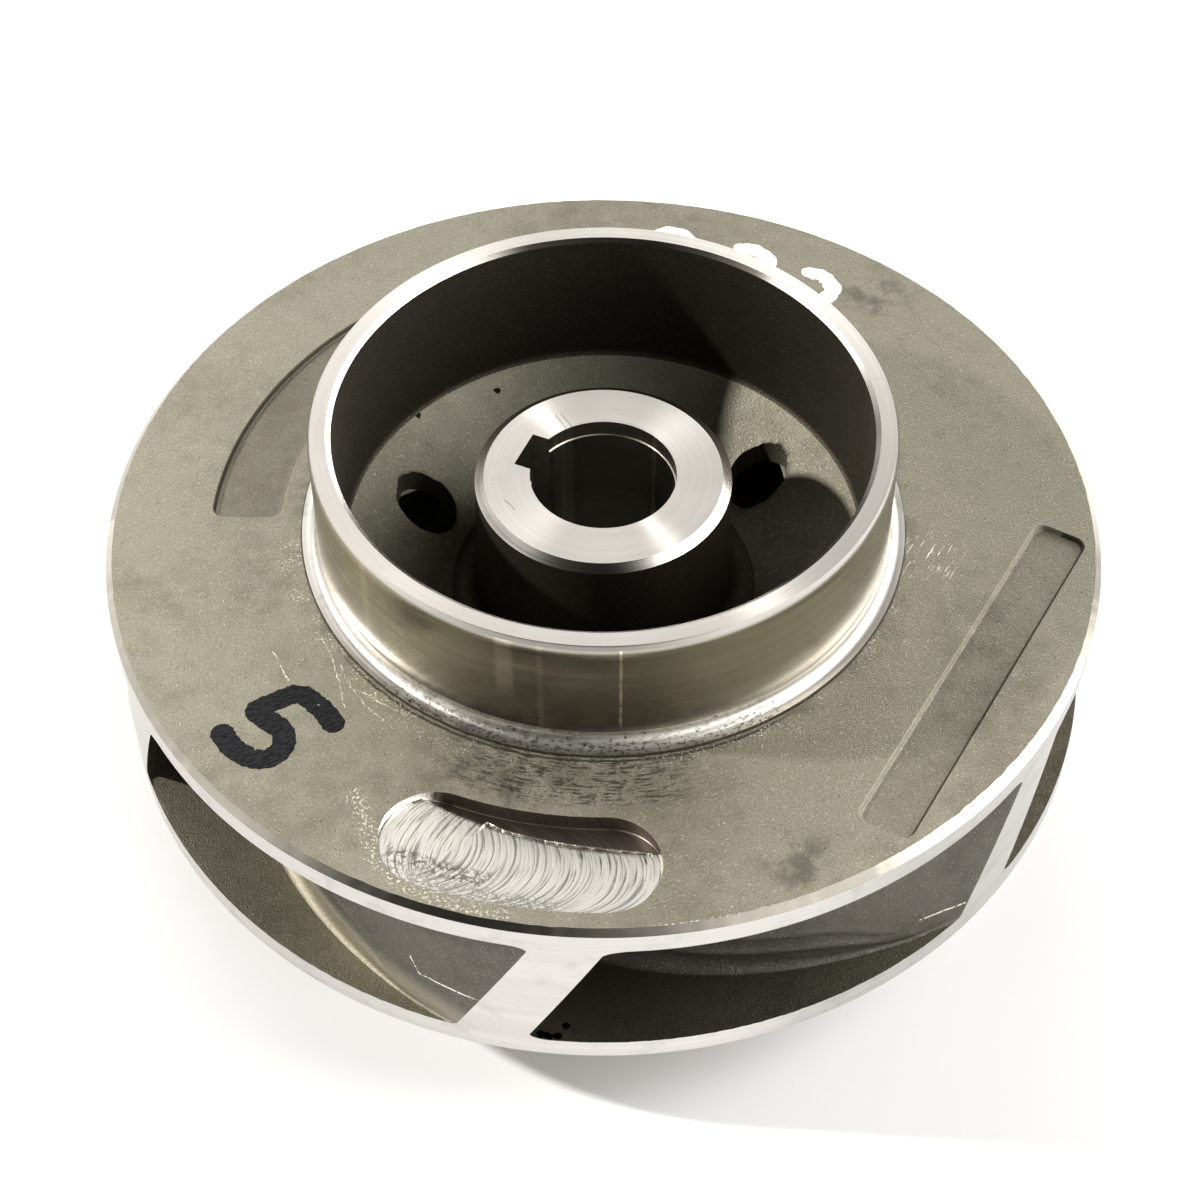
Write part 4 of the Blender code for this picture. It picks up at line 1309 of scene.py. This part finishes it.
def build_hub(scene):
    """Hub: turned face and bevel, cast barrel with its fillet, nose, bore, mouth and keyway."""
    hub, cup, discs = scene.impeller_hub, scene.impeller_cup, scene.impeller_discs
    shell = Shell()
    half_key = hub.key_width / 2
    marks = [math.asin(half_key / hub.bore_r), math.asin(half_key / hub.mouth_r),
             math.atan2(half_key, hub.key_r)]
    marks = [hub.key_azimuth + sign * mark for mark in marks for sign in (-1, 1)]
    fine = hub.key_azimuth + np.linspace(-KEY_SPAN, KEY_SPAN, KEY_TURNS)
    coarse = azimuths(HUB_TURNS)
    coarse = coarse[np.abs(coarse - hub.key_azimuth) > KEY_SPAN + 0.01]
    around = np.unique(np.round(np.concatenate((coarse, fine, marks)), 9))
    around = around[np.concatenate(([True], np.diff(around) > 2e-5))]
    column = around[:, None]

    slope = math.atan(cup.slope + 2 * cup.curvature * (hub.root_r + hub.fillet - cup.ref_r))
    centre_r = hub.foot_r + hub.fillet
    end_r = centre_r + hub.fillet * math.sin(slope)
    centre_z = cup_height(cup, end_r) + hub.fillet * math.cos(slope)
    bend = arc_profile(centre_r, centre_z, hub.fillet, 180.0, 270.0 + math.degrees(slope), 14)
    shoulder = (hub.bevel_r, hub.top - hub.bevel_h)
    seam = [end_r + 0.0004, cup_height(cup, end_r) - 0.0002]
    root_top, root = cup_height(cup, hub.root_r) - 0.0010, (hub.root_r, ceiling_height(discs, hub.root_r))
    nose = (hub.nose_r + hub.nose_bevel, hub.nose_z + hub.nose_bevel)
    for profile, finish in (
            (line_profile((hub.land_r, hub.top), shoulder, 2), "turned_bevel"),
            (np.concatenate((line_profile(shoulder, bend[0], 8), bend[1:], [seam])), "cup_wall_skin"),
            (np.array([seam, [hub.root_r, root_top], root]), "cup_wall_skin"),
            (line_profile(root, nose, 8), "cup_wall_skin"),
            (line_profile(nose, (hub.nose_r, hub.nose_z)), "turned_face")):
        turned_sheet(shell, profile, finish, around)

    mouth, bore = key_radius(hub, around, hub.mouth_r)[:, None], key_radius(hub, around, hub.bore_r)[:, None]
    rows = np.linspace(0.0, 1.0, 5)
    ledge = hub.top - hub.mouth_h
    for radius, height, finish in (
            (mouth * (1 - rows) + hub.land_r * rows, hub.top, "turned_face"),
            (np.hstack((mouth, mouth)), (hub.top, ledge), "bore_wall"),
            (np.hstack((mouth, bore)), ledge, "bore_wall"),
            (np.hstack((bore, bore)), (ledge, hub.nose_z), "bore_wall"),
            (bore * (1 - rows) + hub.nose_r * rows, hub.nose_z, "turned_face")):
        shell.sheet(lift(turn(radius, column), height), finish)
    dress(shell.build("hub_boss"), "machined_steel", "hub")


def build_front_disc(scene):
    """Front shroud: inner cone, rim band, outer face and the bend into the suction neck."""
    discs, rings = scene.impeller_discs, scene.impeller_rings
    shell, around = Shell(), azimuths()
    seat, bend_r = rings.eye_top, discs.eye_r + discs.neck_bend
    bend = discs.neck_bend * (1 - np.sin(np.radians(np.linspace(5, 81, 16))))
    inner_r = np.concatenate((np.linspace(discs.outer_r, bend_r, 12), discs.eye_r + bend))
    inner = np.stack((inner_r, floor_height(discs, inner_r)), axis=1)
    inner = np.concatenate((inner[inner[:, 1] > seat + 0.0002], [[discs.eye_r, seat - 0.0004]]))
    ragged = ripple(around, FRONT_SEED, range(60, 330, 2), 0.2)[:, None] * 0.00006
    turned_sheet(shell, inner, "passage_skin", around, 0.0, ragged * (np.arange(len(inner)) == 0))
    outer_bend = discs.neck_bend - discs.front_thick
    bend_z = discs.front_low - discs.floor_drop - outer_bend
    outer = arc_profile(bend_r, bend_z, outer_bend, 90.0, 166.0, 12)
    outer = np.concatenate((line_profile((discs.outer_r, discs.front_low), outer[0], 6), outer[1:],
                            [[outer[-1][0] - 0.0002, seat - 0.0004]]))
    turned_sheet(shell, outer, "cast_skin", around)
    turned_sheet(shell, line_profile(inner[-1], outer[-1]), "passage_skin", around)
    band = line_profile((discs.outer_r, discs.front_edge), (discs.outer_r, discs.front_low), 3)
    turned_sheet(shell, band, "turned_rim", around, 0.0, ragged * (np.arange(len(band)) == 0))
    dress(shell.build("front_disc"), "cast_steel", "front_shroud")


def build_eye_ring(scene):
    """Ring round the suction eye, on whose face the impeller stands."""
    discs, rings = scene.impeller_discs, scene.impeller_rings
    shell = Shell()
    inner, outer, bevel, top = discs.eye_r, rings.eye_out, rings.eye_bevel, rings.eye_top
    profile = np.array([[inner, top], [inner, bevel], [inner + bevel, 0.0], [outer - bevel, 0.0],
                        [outer, bevel], [outer, top - 0.0006], [outer - 0.0006, top], [outer - 0.0032, top],
                        [inner, top]])
    turned_sheet(shell, profile, "turned_face", azimuths())
    dress(shell.build("eye_ring"), "machined_steel", "front_wear_ring")


def vane_angle(discs, vanes, r):
    """Angle between the vane and the circle through it, even from the rim to the eye."""
    share = (discs.outer_r - r) / (discs.outer_r - vanes.eye_back)
    return vanes.tip_angle + (vanes.eye_angle - vanes.tip_angle) * share


def vane_wrap(discs, vanes, r):
    """How far the vane turns back from the rim to r: the running sum of dr / (r tan(angle))."""
    mesh = np.linspace(discs.outer_r, vanes.eye_back, 400)
    rate = 1.0 / (mesh * np.tan(vane_angle(discs, vanes, mesh)))
    steps = -np.diff(mesh) * (rate[1:] + rate[:-1]) / 2
    total = np.concatenate(([0.0], np.cumsum(steps)))
    return np.interp(r, mesh[::-1], total[::-1])


def fillet_offset(height, radius):
    """Sideways flare of a hollow fillet at a height over the surface that it runs into.

    It is the radius, less the root of the radius squared minus the square of the height that is
    left up to the radius.
    """
    rest = np.clip(radius - height, 0.0, radius)
    return radius - np.sqrt(radius ** 2 - rest ** 2)


# Stations along a vane, rows up its height, and how far both of its ends sink into the shrouds
VANE_STATIONS, VANE_ROWS = 90, 81
VANE_SINK = 0.00012

# Shares of a vane's length that its round nose and its taper take up
NOSE_SHARE, TAPER_SHARE = 0.03, 0.3


def fold(discs, height, r):
    """Two soft folds along a vane's foot, which rise from the rim inwards and then fade out.

    Each is a bump over the height, e to the minus square of the distance from its middle.
    """
    depth = discs.outer_r - r
    rise = smooth(depth, 0.0005, 0.0110)
    fade = smooth(depth, 0.0010, 0.0060) * (1.0 - smooth(depth, 0.0170, 0.0260))
    total = np.zeros(np.broadcast(height, r).shape)
    for offset, top in FOLDS:
        total = total + top * np.exp(-((height - offset * rise) / FOLD_WIDTH) ** 2)
    return total * fade


def vane_rows():
    """Shares of the height, close together at both ends where the fillets are."""
    share = np.linspace(0.0, 1.0, VANE_ROWS)
    return share + 0.6 * (smooth(share, 0.0, 1.0) - share)


def build_vane(scene, index):
    """Vane: two flanks that flare into the shrouds, a round nose and a tip cut by the lathe.

    A point lies at the azimuth of the camber line, which turns with radius and leans with height,
    plus half the thickness and the flare, both measured square to the vane.
    """
    discs, vanes = scene.impeller_discs, scene.impeller_vanes
    shell = Shell()
    up = vane_rows()[:, None]
    s = np.linspace(0.0, 1.0, VANE_STATIONS + 1)[None, :]
    inner = vanes.eye_front + (vanes.eye_back - vanes.eye_front) * up
    r = inner + (discs.outer_r - inner) * s ** 0.9
    low, high = floor_height(discs, r) - VANE_SINK, ceiling_height(discs, r) + VANE_SINK
    z = low + (high - low) * up
    steer = vane_angle(discs, vanes, r)
    camber = (vanes.tip_azimuth + 2 * math.pi * index / vanes.count - vane_wrap(discs, vanes, r)
              + vanes.lean * (up - 0.5))
    nose = np.sqrt(1.0 - (1.0 - np.minimum(s / NOSE_SHARE, 1.0)) ** 2)
    half = (vanes.nose + (vanes.thick - vanes.nose) * smooth(s, 0.0, TAPER_SHARE)) / 2 * nose
    depth = smooth(discs.outer_r - r, 0.0, 0.022)
    fillet = vanes.fillet_tip + (vanes.fillet_deep - vanes.fillet_tip) * depth
    flanks = []
    for side in (-1, 1):
        floor_fillet = fillet * (0.45 + 0.55 * depth) if side < 0 else fillet
        flare = fillet_offset(z - low, floor_fillet * nose) + fillet_offset(high - z, fillet * nose)
        if side < 0:
            flare = flare + fold(discs, z - low, r)
        flanks.append(lift(turn(r, camber + side * (half + flare) / (r * np.sin(steer))), z))
    left, right = flanks
    for sheet in (left, right, np.stack((left[0], right[0])), np.stack((left[-1], right[-1]))):
        shell.sheet(sheet, "vane_skin")
    across = np.linspace(0.0, 1.0, 7)[:, None, None]
    tip_azimuth = [np.unwrap(np.arctan2(flank[:, -1, 1], flank[:, -1, 0])) for flank in flanks]
    spread = tip_azimuth[0] + (tip_azimuth[1] - tip_azimuth[0]) * across[:, :, 0]
    shell.sheet(lift(turn(discs.outer_r, spread), left[None, :, -1, 2]), "turned_rim")
    dress(shell.build("vane_blade_%d" % (index + 1)), "cast_steel", "vane_%d" % (index + 1))


def smooth_path(points, steps):
    """Curve through plan points: a cubic for each span, whose slope at a point is half the chord
    between the point's neighbours."""
    p = np.concatenate(([2 * points[0] - points[1]], points, [2 * points[-1] - points[-2]]))
    a, b, c, d = (p[k:len(p) - 3 + k, None] for k in range(4))
    t = np.linspace(0.0, 1.0, steps, endpoint=False)[None, :]
    spans = (b + (c - a) / 2 * t + (a - 2.5 * b + 2 * c - d / 2) * t ** 2
             + ((d - a) / 2 + 1.5 * (b - c)) * t ** 3)
    return np.concatenate((spans.ravel(), points[-1:]))


def jitter(run, step, seed):
    """Uneven line: random values at even steps, joined by straight stretches."""
    knots = np.arange(0.0, run.max() + 2 * step, step)
    return np.interp(run, knots, np.random.default_rng(seed).uniform(-1.0, 1.0, len(knots)))


# Points of a stroke along its path, and across its top and its sole
STROKE_ROWS, STROKE_TOP, STROKE_SOLE = 150, 9, 5


def add_stroke(shell, finish, points, half, base, high, seed, ragged, step):
    """Adds a thin closed film along a curve through plan points, with round ends.

    Its half width is that of a round brush at the ends, plus an uneven line at each side, and its
    height over the base falls off towards the sides with the sixth power of the way across.
    """
    path = smooth_path(np.asarray(points), 24)
    run = np.concatenate(([0.0], np.cumsum(np.abs(np.diff(path)))))
    rows = run[-1] * (0.5 - 0.5 * np.cos(np.linspace(0.0, np.pi, STROKE_ROWS)))
    path = np.interp(rows, run, path.real) + 1j * np.interp(rows, run, path.imag)
    ahead = np.gradient(path)
    ahead = ahead / np.abs(ahead)
    ends = np.minimum(rows, rows[-1] - rows) / half
    brush = np.sqrt(np.clip(1.0 - (1.0 - np.minimum(ends, 1.0)) ** 2, 0.0, 1.0))
    across = np.linspace(-1.0, 1.0, STROKE_TOP)
    k = np.concatenate((across, np.linspace(1.0, -1.0, STROKE_SOLE)[1:]))
    top = np.concatenate((1.0 - across ** 6, np.zeros(STROKE_SOLE - 1)))
    sides = np.where(k > 0, jitter(rows, step, seed)[:, None], jitter(rows, step, seed + 1)[:, None])
    width = brush[:, None] * (half + ragged * sides)
    plan = path[:, None] + 1j * ahead[:, None] * k * width
    height = high * smooth(brush, 0.0, 0.5)[:, None] * top
    floor = base(plan) if callable(base) else np.full(plan.shape, base)
    floor[[0, -1]] = floor[[0, -1], :1]
    shell.sheet(lift(plan, floor + height), finish)


def plan_points(*pairs):
    """Plan points from pairs given in millimetres."""
    return np.array([complex(x, y) for x, y in pairs]) / 1000


def build_numeral(scene):
    """Marker numeral on the back face: the figure 5 in three strokes of a broad pen."""
    base = scene.impeller_discs.back_top - FILM_SINK
    strokes = (
        ((-55.2, -60.6), (-58.6, -55.6), (-61.8, -52.2), (-65.6, -49.4)),
        ((-63.2, -49.3), (-66.5, -51.2), (-70.0, -53.0), (-75.0, -56.4)),
        ((-74.6, -53.9), (-70.9, -57.2), (-67.4, -60.1), (-66.5, -63.3), (-67.6, -66.4), (-70.4, -67.9),
         (-73.9, -67.1), (-77.5, -64.3), (-80.8, -58.9)),
    )
    shell = Shell()
    for index, stroke in enumerate(strokes):
        add_stroke(shell, "marker_ink", plan_points(*stroke), half=0.00265, base=base,
                   high=0.00005 + 0.000006 * index, seed=NUMERAL_SEED + 2 * index,
                   ragged=0.00022, step=0.0005)
    dress(shell.build("marker_numeral"), "cast_steel")


def build_digits(scene):
    """Three brushed digits behind the ring, their tops outwards, each a hooked stroke and a foot.

    A digit has its azimuth in degrees, its shift to the right and up in millimetres, and its slant.
    """
    base = scene.impeller_discs.back_top - FILM_SINK
    digits = (
        (79.0, 0.8, 1.4, -0.6),
        (67.5, 1.4, 0.8, 0.4),
        (55.5, 0.0, 0.0, 0.0),
    )
    hook = ((-6.2, 5.2), (-4.6, 6.4), (-2.0, 7.0), (0.6, 6.5), (2.9, 4.6), (3.6, 1.8), (3.0, -1.2),
            (0.4, -5.0), (-4.2, -9.4))
    foot = ((-5.6, -8.6), (-1.8, -8.9), (2.0, -8.4), (6.4, -8.9))
    shell = Shell()
    for index, (azimuth, right, up, slant) in enumerate(digits):
        spin = turn(1.0, math.radians(azimuth))
        for part, stroke in enumerate((hook, foot)):
            local = plan_points(*((x + right + slant * y / 9.0, y + up) for x, y in stroke))
            add_stroke(shell, "white_paint", (0.090 - 1j * local) * spin, half=0.0021, base=base,
                       high=0.00010 + 0.00001 * part, seed=DIGIT_SEED + 6 * index + 2 * part,
                       ragged=0.00035, step=0.0011)
    dress(shell.build("brushed_digits"), "cast_steel")


def build_burr(scene):
    """Torn ridge that the cutter left on the pocket's floor."""
    recess, discs = scene.impeller_recesses, scene.impeller_discs
    pocket_floor = lambda plan: discs.back_top - pocket_depth(recess, plan) - 4 * FILM_SINK
    shell = Shell()
    ridge = plan_points((-25.2, -84.8), (-23.6, -82.6), (-21.1, -84.4), (-17.0, -85.9), (-12.9, -87.1),
                        (-6.8, -88.4), (-0.8, -89.4), (4.6, -90.2), (9.8, -90.9))
    add_stroke(shell, "burr_metal", ridge, half=0.00030, base=pocket_floor, high=0.00045, seed=BURR_SEED,
               ragged=0.00024, step=0.0007)
    dress(shell.build("pocket_burr"), "machined_steel")


# Operators


def make_finishes(scene):
    """Makes the finishes once; the pieces then find them by name."""
    looks, recess = scene.impeller_finishes, scene.impeller_recesses
    if "cast_skin" in bpy.data.materials:
        return
    cast_finish("cast_skin", looks.cast, looks.cast_dark)
    cast_finish("cup_skin", looks.cup, looks.cup_dark, tips=(0.50, 0.47, 0.37), glint=0.75,
                pits=((-25.4, 48.4, 62.5, 1.2), (-43.7, 37.8, 64.9, 1.3)),
                hair=((-54.5, 9.3, 64.5), (-53.1, 8.8, 64.0), (-52.0, 6.6, 63.6)))
    cast_finish("cup_wall_skin", looks.cup_wall, looks.cup_wall, tips=(0.42, 0.38, 0.29), glint=0.25)
    vane_finish("vane_skin", looks.vane, looks.vane_dark)
    passage_finish("passage_skin", looks.passage, looks.passage_dark,
                   ((-11.7, -109.4, 29.4, 1.6), (-13.2, -108.9, 29.4, 1.3), (-9.6, -109.4, 29.4, 1.2),
                    (-8.0, -106.8, 29.2, 1.1)))
    back_finish("back_skin", looks, recess)
    for name, tone, rough, stretch, groove, depth, stain, shine, marks in (
            ("turned_bevel", looks.turned, 0.22, 0.70, 5000.0, 0.000006, 0.00, 0.92, front_tarnish),
            ("inner_bevel", looks.turned, 0.22, 0.70, 5000.0, 0.000006, 0.00, 0.92, inner_tarnish),
            ("outer_bevel", looks.turned, 0.22, 0.70, 5000.0, 0.000006, 0.00, 0.92, outer_tarnish),
            ("turned_face", looks.turned, 0.32, 0.95, 9000.0, 0.000006, 0.00, 0.92, nicked),
            ("turned_rim", looks.rim, 0.36, 0.30, 2500.0, 0.000010, 0.16, 0.90, None),
            ("ring_wall", looks.wall, 0.26, 0.90, 3000.0, 0.000003, 0.00, 0.93, wall_marks),
            ("ring_foot", looks.turned, 0.34, 0.30, 2600.0, 0.000020, 0.30, 0.85, foot_stains),
            ("bore_wall", looks.bore, 0.30, 0.80, 4000.0, 0.000005, 0.00, 0.93, bore_marks)):
        turned_finish(name, tone, rough, stretch, groove, depth, stain, shine, marks)
    rim_bevel_finish("bevel_face", looks.bevel)
    milled_finish("milled_floor", looks.milled, recess)
    ink_finish("marker_ink", looks.ink)
    paint_finish("white_paint", looks.paint)
    burr_finish("burr_metal")


class IMPELLER_OT_back_disc(Operator):
    """Build the back shroud with its recesses, cup floor and balance holes"""
    bl_idname = "impeller.back_disc"
    bl_label = "Back shroud"

    def execute(self, context):
        make_finishes(context.scene)
        build_back_disc(context.scene)
        return {"FINISHED"}


class IMPELLER_OT_back_ring(Operator):
    """Build the back wear ring"""
    bl_idname = "impeller.back_ring"
    bl_label = "Back wear ring"

    def execute(self, context):
        make_finishes(context.scene)
        build_back_ring(context.scene)
        return {"FINISHED"}


class IMPELLER_OT_hub(Operator):
    """Build the hub with its bore and keyway"""
    bl_idname = "impeller.hub"
    bl_label = "Hub"

    def execute(self, context):
        make_finishes(context.scene)
        build_hub(context.scene)
        return {"FINISHED"}


class IMPELLER_OT_front_side(Operator):
    """Build the front shroud and the ring round the eye"""
    bl_idname = "impeller.front_side"
    bl_label = "Front shroud and eye ring"

    def execute(self, context):
        make_finishes(context.scene)
        build_front_disc(context.scene)
        build_eye_ring(context.scene)
        return {"FINISHED"}


class IMPELLER_OT_vanes(Operator):
    """Build the vanes"""
    bl_idname = "impeller.vanes"
    bl_label = "Vanes"

    def execute(self, context):
        make_finishes(context.scene)
        for index in range(context.scene.impeller_vanes.count):
            build_vane(context.scene, index)
        return {"FINISHED"}


class IMPELLER_OT_marks(Operator):
    """Build the marker numeral, the brushed digits and the burr in the pocket"""
    bl_idname = "impeller.marks"
    bl_label = "Marks and burr"

    def execute(self, context):
        make_finishes(context.scene)
        build_numeral(context.scene)
        build_digits(context.scene)
        build_burr(context.scene)
        return {"FINISHED"}


def aim(stage):
    """Camera axes from pitch, yaw and roll: right, up and back as the columns of a matrix."""
    cos_p, sin_p = math.cos(stage.pitch), math.sin(stage.pitch)
    cos_y, sin_y = math.cos(stage.yaw), math.sin(stage.yaw)
    spin = np.array([[cos_y, -sin_y, 0.0], [sin_y, cos_y, 0.0], [0.0, 0.0, 1.0]])
    ahead = spin @ np.array([0.0, cos_p, -sin_p])
    right = spin @ np.array([1.0, 0.0, 0.0])
    up = np.cross(right, ahead)
    cos_r, sin_r = math.cos(stage.roll), math.sin(stage.roll)
    return np.stack((cos_r * right + sin_r * up, -sin_r * right + cos_r * up, -ahead), axis=1)


# Soft lights round the part: elevation, half spread, then azimuth and strength of each, in degrees
SOFT_LIGHTS = (
    (5.0, 22.0, ((60, 3.43), (150, 0.96), (180, 0.69), (210, 0.77), (300, 0.66), (330, 2.80))),
    (20.0, 20.0, ((0, 2.78), (22, 6.85), (45, 4.34), (90, 4.83), (112, 3.05), (202, 0.96),
                  (292, 0.88), (315, 2.30))),
    (38.0, 20.0, ((0, 7.26), (77, 0.57), (129, 1.55), (283, 0.43), (309, 1.71))),
    (56.0, 21.0, ((0, 3.67), (108, 1.12))),
)

# Azimuth and elevation of the low lamp, in degrees, and height of the floor just below the part
KEY_LIGHT = (174.3, 32.0)
FLOOR_Z = -0.0002


def toward(azimuth, elevation):
    """Direction of unit length from an azimuth and an elevation in degrees."""
    a, e = math.radians(azimuth), math.radians(elevation)
    return (math.cos(e) * math.cos(a), math.cos(e) * math.sin(a), math.sin(e))


def build_world(stage):
    """Surroundings of a small studio: a sum of soft round lights, each brightest at its middle."""
    world = bpy.data.worlds.new("studio")
    bpy.context.scene.world = world
    net = Net(world)
    direction = net.node("ShaderNodeTexCoord")["Generated"]
    total = 0.0
    for elevation, spread, lights in SOFT_LIGHTS:
        for azimuth, strength in lights:
            facing = net.vector("DOT_PRODUCT", direction, toward(azimuth, elevation), "Value")
            total = total + net.ramp(facing, math.cos(math.radians(spread)), 1.0, 0.0, strength)
    links = {"Color": (1.0, 0.985, 0.96, 1.0), "Strength": total * stage.sky}
    glow = net.node("ShaderNodeBackground", None, links)
    net.node("ShaderNodeOutputWorld", None, {"Surface": glow["Background"]})


def build_key(stage):
    """Low lamp from the left, far away, whose small disc throws the crisp shadows."""
    lamp = bpy.data.lights.new("key_light", "SUN")
    lamp.energy, lamp.angle, lamp.color = stage.key, stage.key_angle, (1.0, 0.97, 0.93)
    obj = bpy.data.objects.new("key_light", lamp)
    bpy.context.scene.collection.objects.link(obj)
    back = np.array(toward(*KEY_LIGHT))
    side = np.cross([0.0, 0.0, 1.0], back)
    side = side / np.linalg.norm(side)
    turned = np.stack((side, np.cross(back, side), back), axis=1)
    obj.matrix_world = Matrix.Translation(back) @ Matrix(turned.tolist()).to_4x4()


class IMPELLER_OT_stage(Operator):
    """Build the floor, the lights and the camera"""
    bl_idname = "impeller.stage"
    bl_label = "Stage"

    def execute(self, context):
        scene, stage = context.scene, context.scene.impeller_stage
        camera = bpy.data.cameras.new("camera")
        camera.lens, camera.sensor_width, camera.clip_end = stage.lens, 36.0, 50.0
        obj = bpy.data.objects.new("camera", camera)
        scene.collection.objects.link(obj)
        obj.matrix_world = (Matrix.Translation((0.0, stage.eye_y, stage.eye_z))
                            @ Matrix(aim(stage).tolist()).to_4x4())
        scene.camera = obj
        scene.view_settings.view_transform = "Standard"

        half = stage.floor_half
        mesh = bpy.data.meshes.new("floor")
        corners = ((-half, -half), (half, -half), (half, half), (-half, half))
        mesh.from_pydata([(x, y, FLOOR_Z) for x, y in corners], [], [(0, 1, 2, 3)])
        floor = bpy.data.objects.new("floor", mesh)
        scene.collection.objects.link(floor)
        new_finish("floor_matt").metal(paint(stage.floor), 0.75, metallic=0.0)
        mesh.materials.append(bpy.data.materials["floor_matt"])

        build_world(stage)
        build_key(stage)
        return {"FINISHED"}


class IMPELLER_PT_pieces(Panel):
    """Lists the pieces in the 3D view's sidebar"""
    bl_idname = "IMPELLER_PT_pieces"
    bl_label = "Pump impeller"
    bl_space_type = "VIEW_3D"
    bl_region_type = "UI"
    bl_category = "Impeller"

    def draw(self, context):
        for operator in OPERATORS:
            self.layout.operator(operator.bl_idname)


OPERATORS = (
    IMPELLER_OT_stage,
    IMPELLER_OT_back_disc,
    IMPELLER_OT_back_ring,
    IMPELLER_OT_hub,
    IMPELLER_OT_front_side,
    IMPELLER_OT_vanes,
    IMPELLER_OT_marks,
)


def register():
    """Registers the property groups, the operators and the panel."""
    for group in GROUPS.values():
        bpy.utils.register_class(group)
    for name, group in GROUPS.items():
        setattr(bpy.types.Scene, name, PointerProperty(type=group))
    for operator in OPERATORS:
        bpy.utils.register_class(operator)
    bpy.utils.register_class(IMPELLER_PT_pieces)


def unregister():
    """Takes back all that register adds, in reverse order."""
    bpy.utils.unregister_class(IMPELLER_PT_pieces)
    for operator in reversed(OPERATORS):
        bpy.utils.unregister_class(operator)
    for name, group in reversed(GROUPS.items()):
        delattr(bpy.types.Scene, name)
        bpy.utils.unregister_class(group)


def main():
    """Builds the stage and every piece."""
    register()
    for operator in OPERATORS:
        space, name = operator.bl_idname.split(".")
        getattr(getattr(bpy.ops, space), name)()


if __name__ == "__main__":
    main()
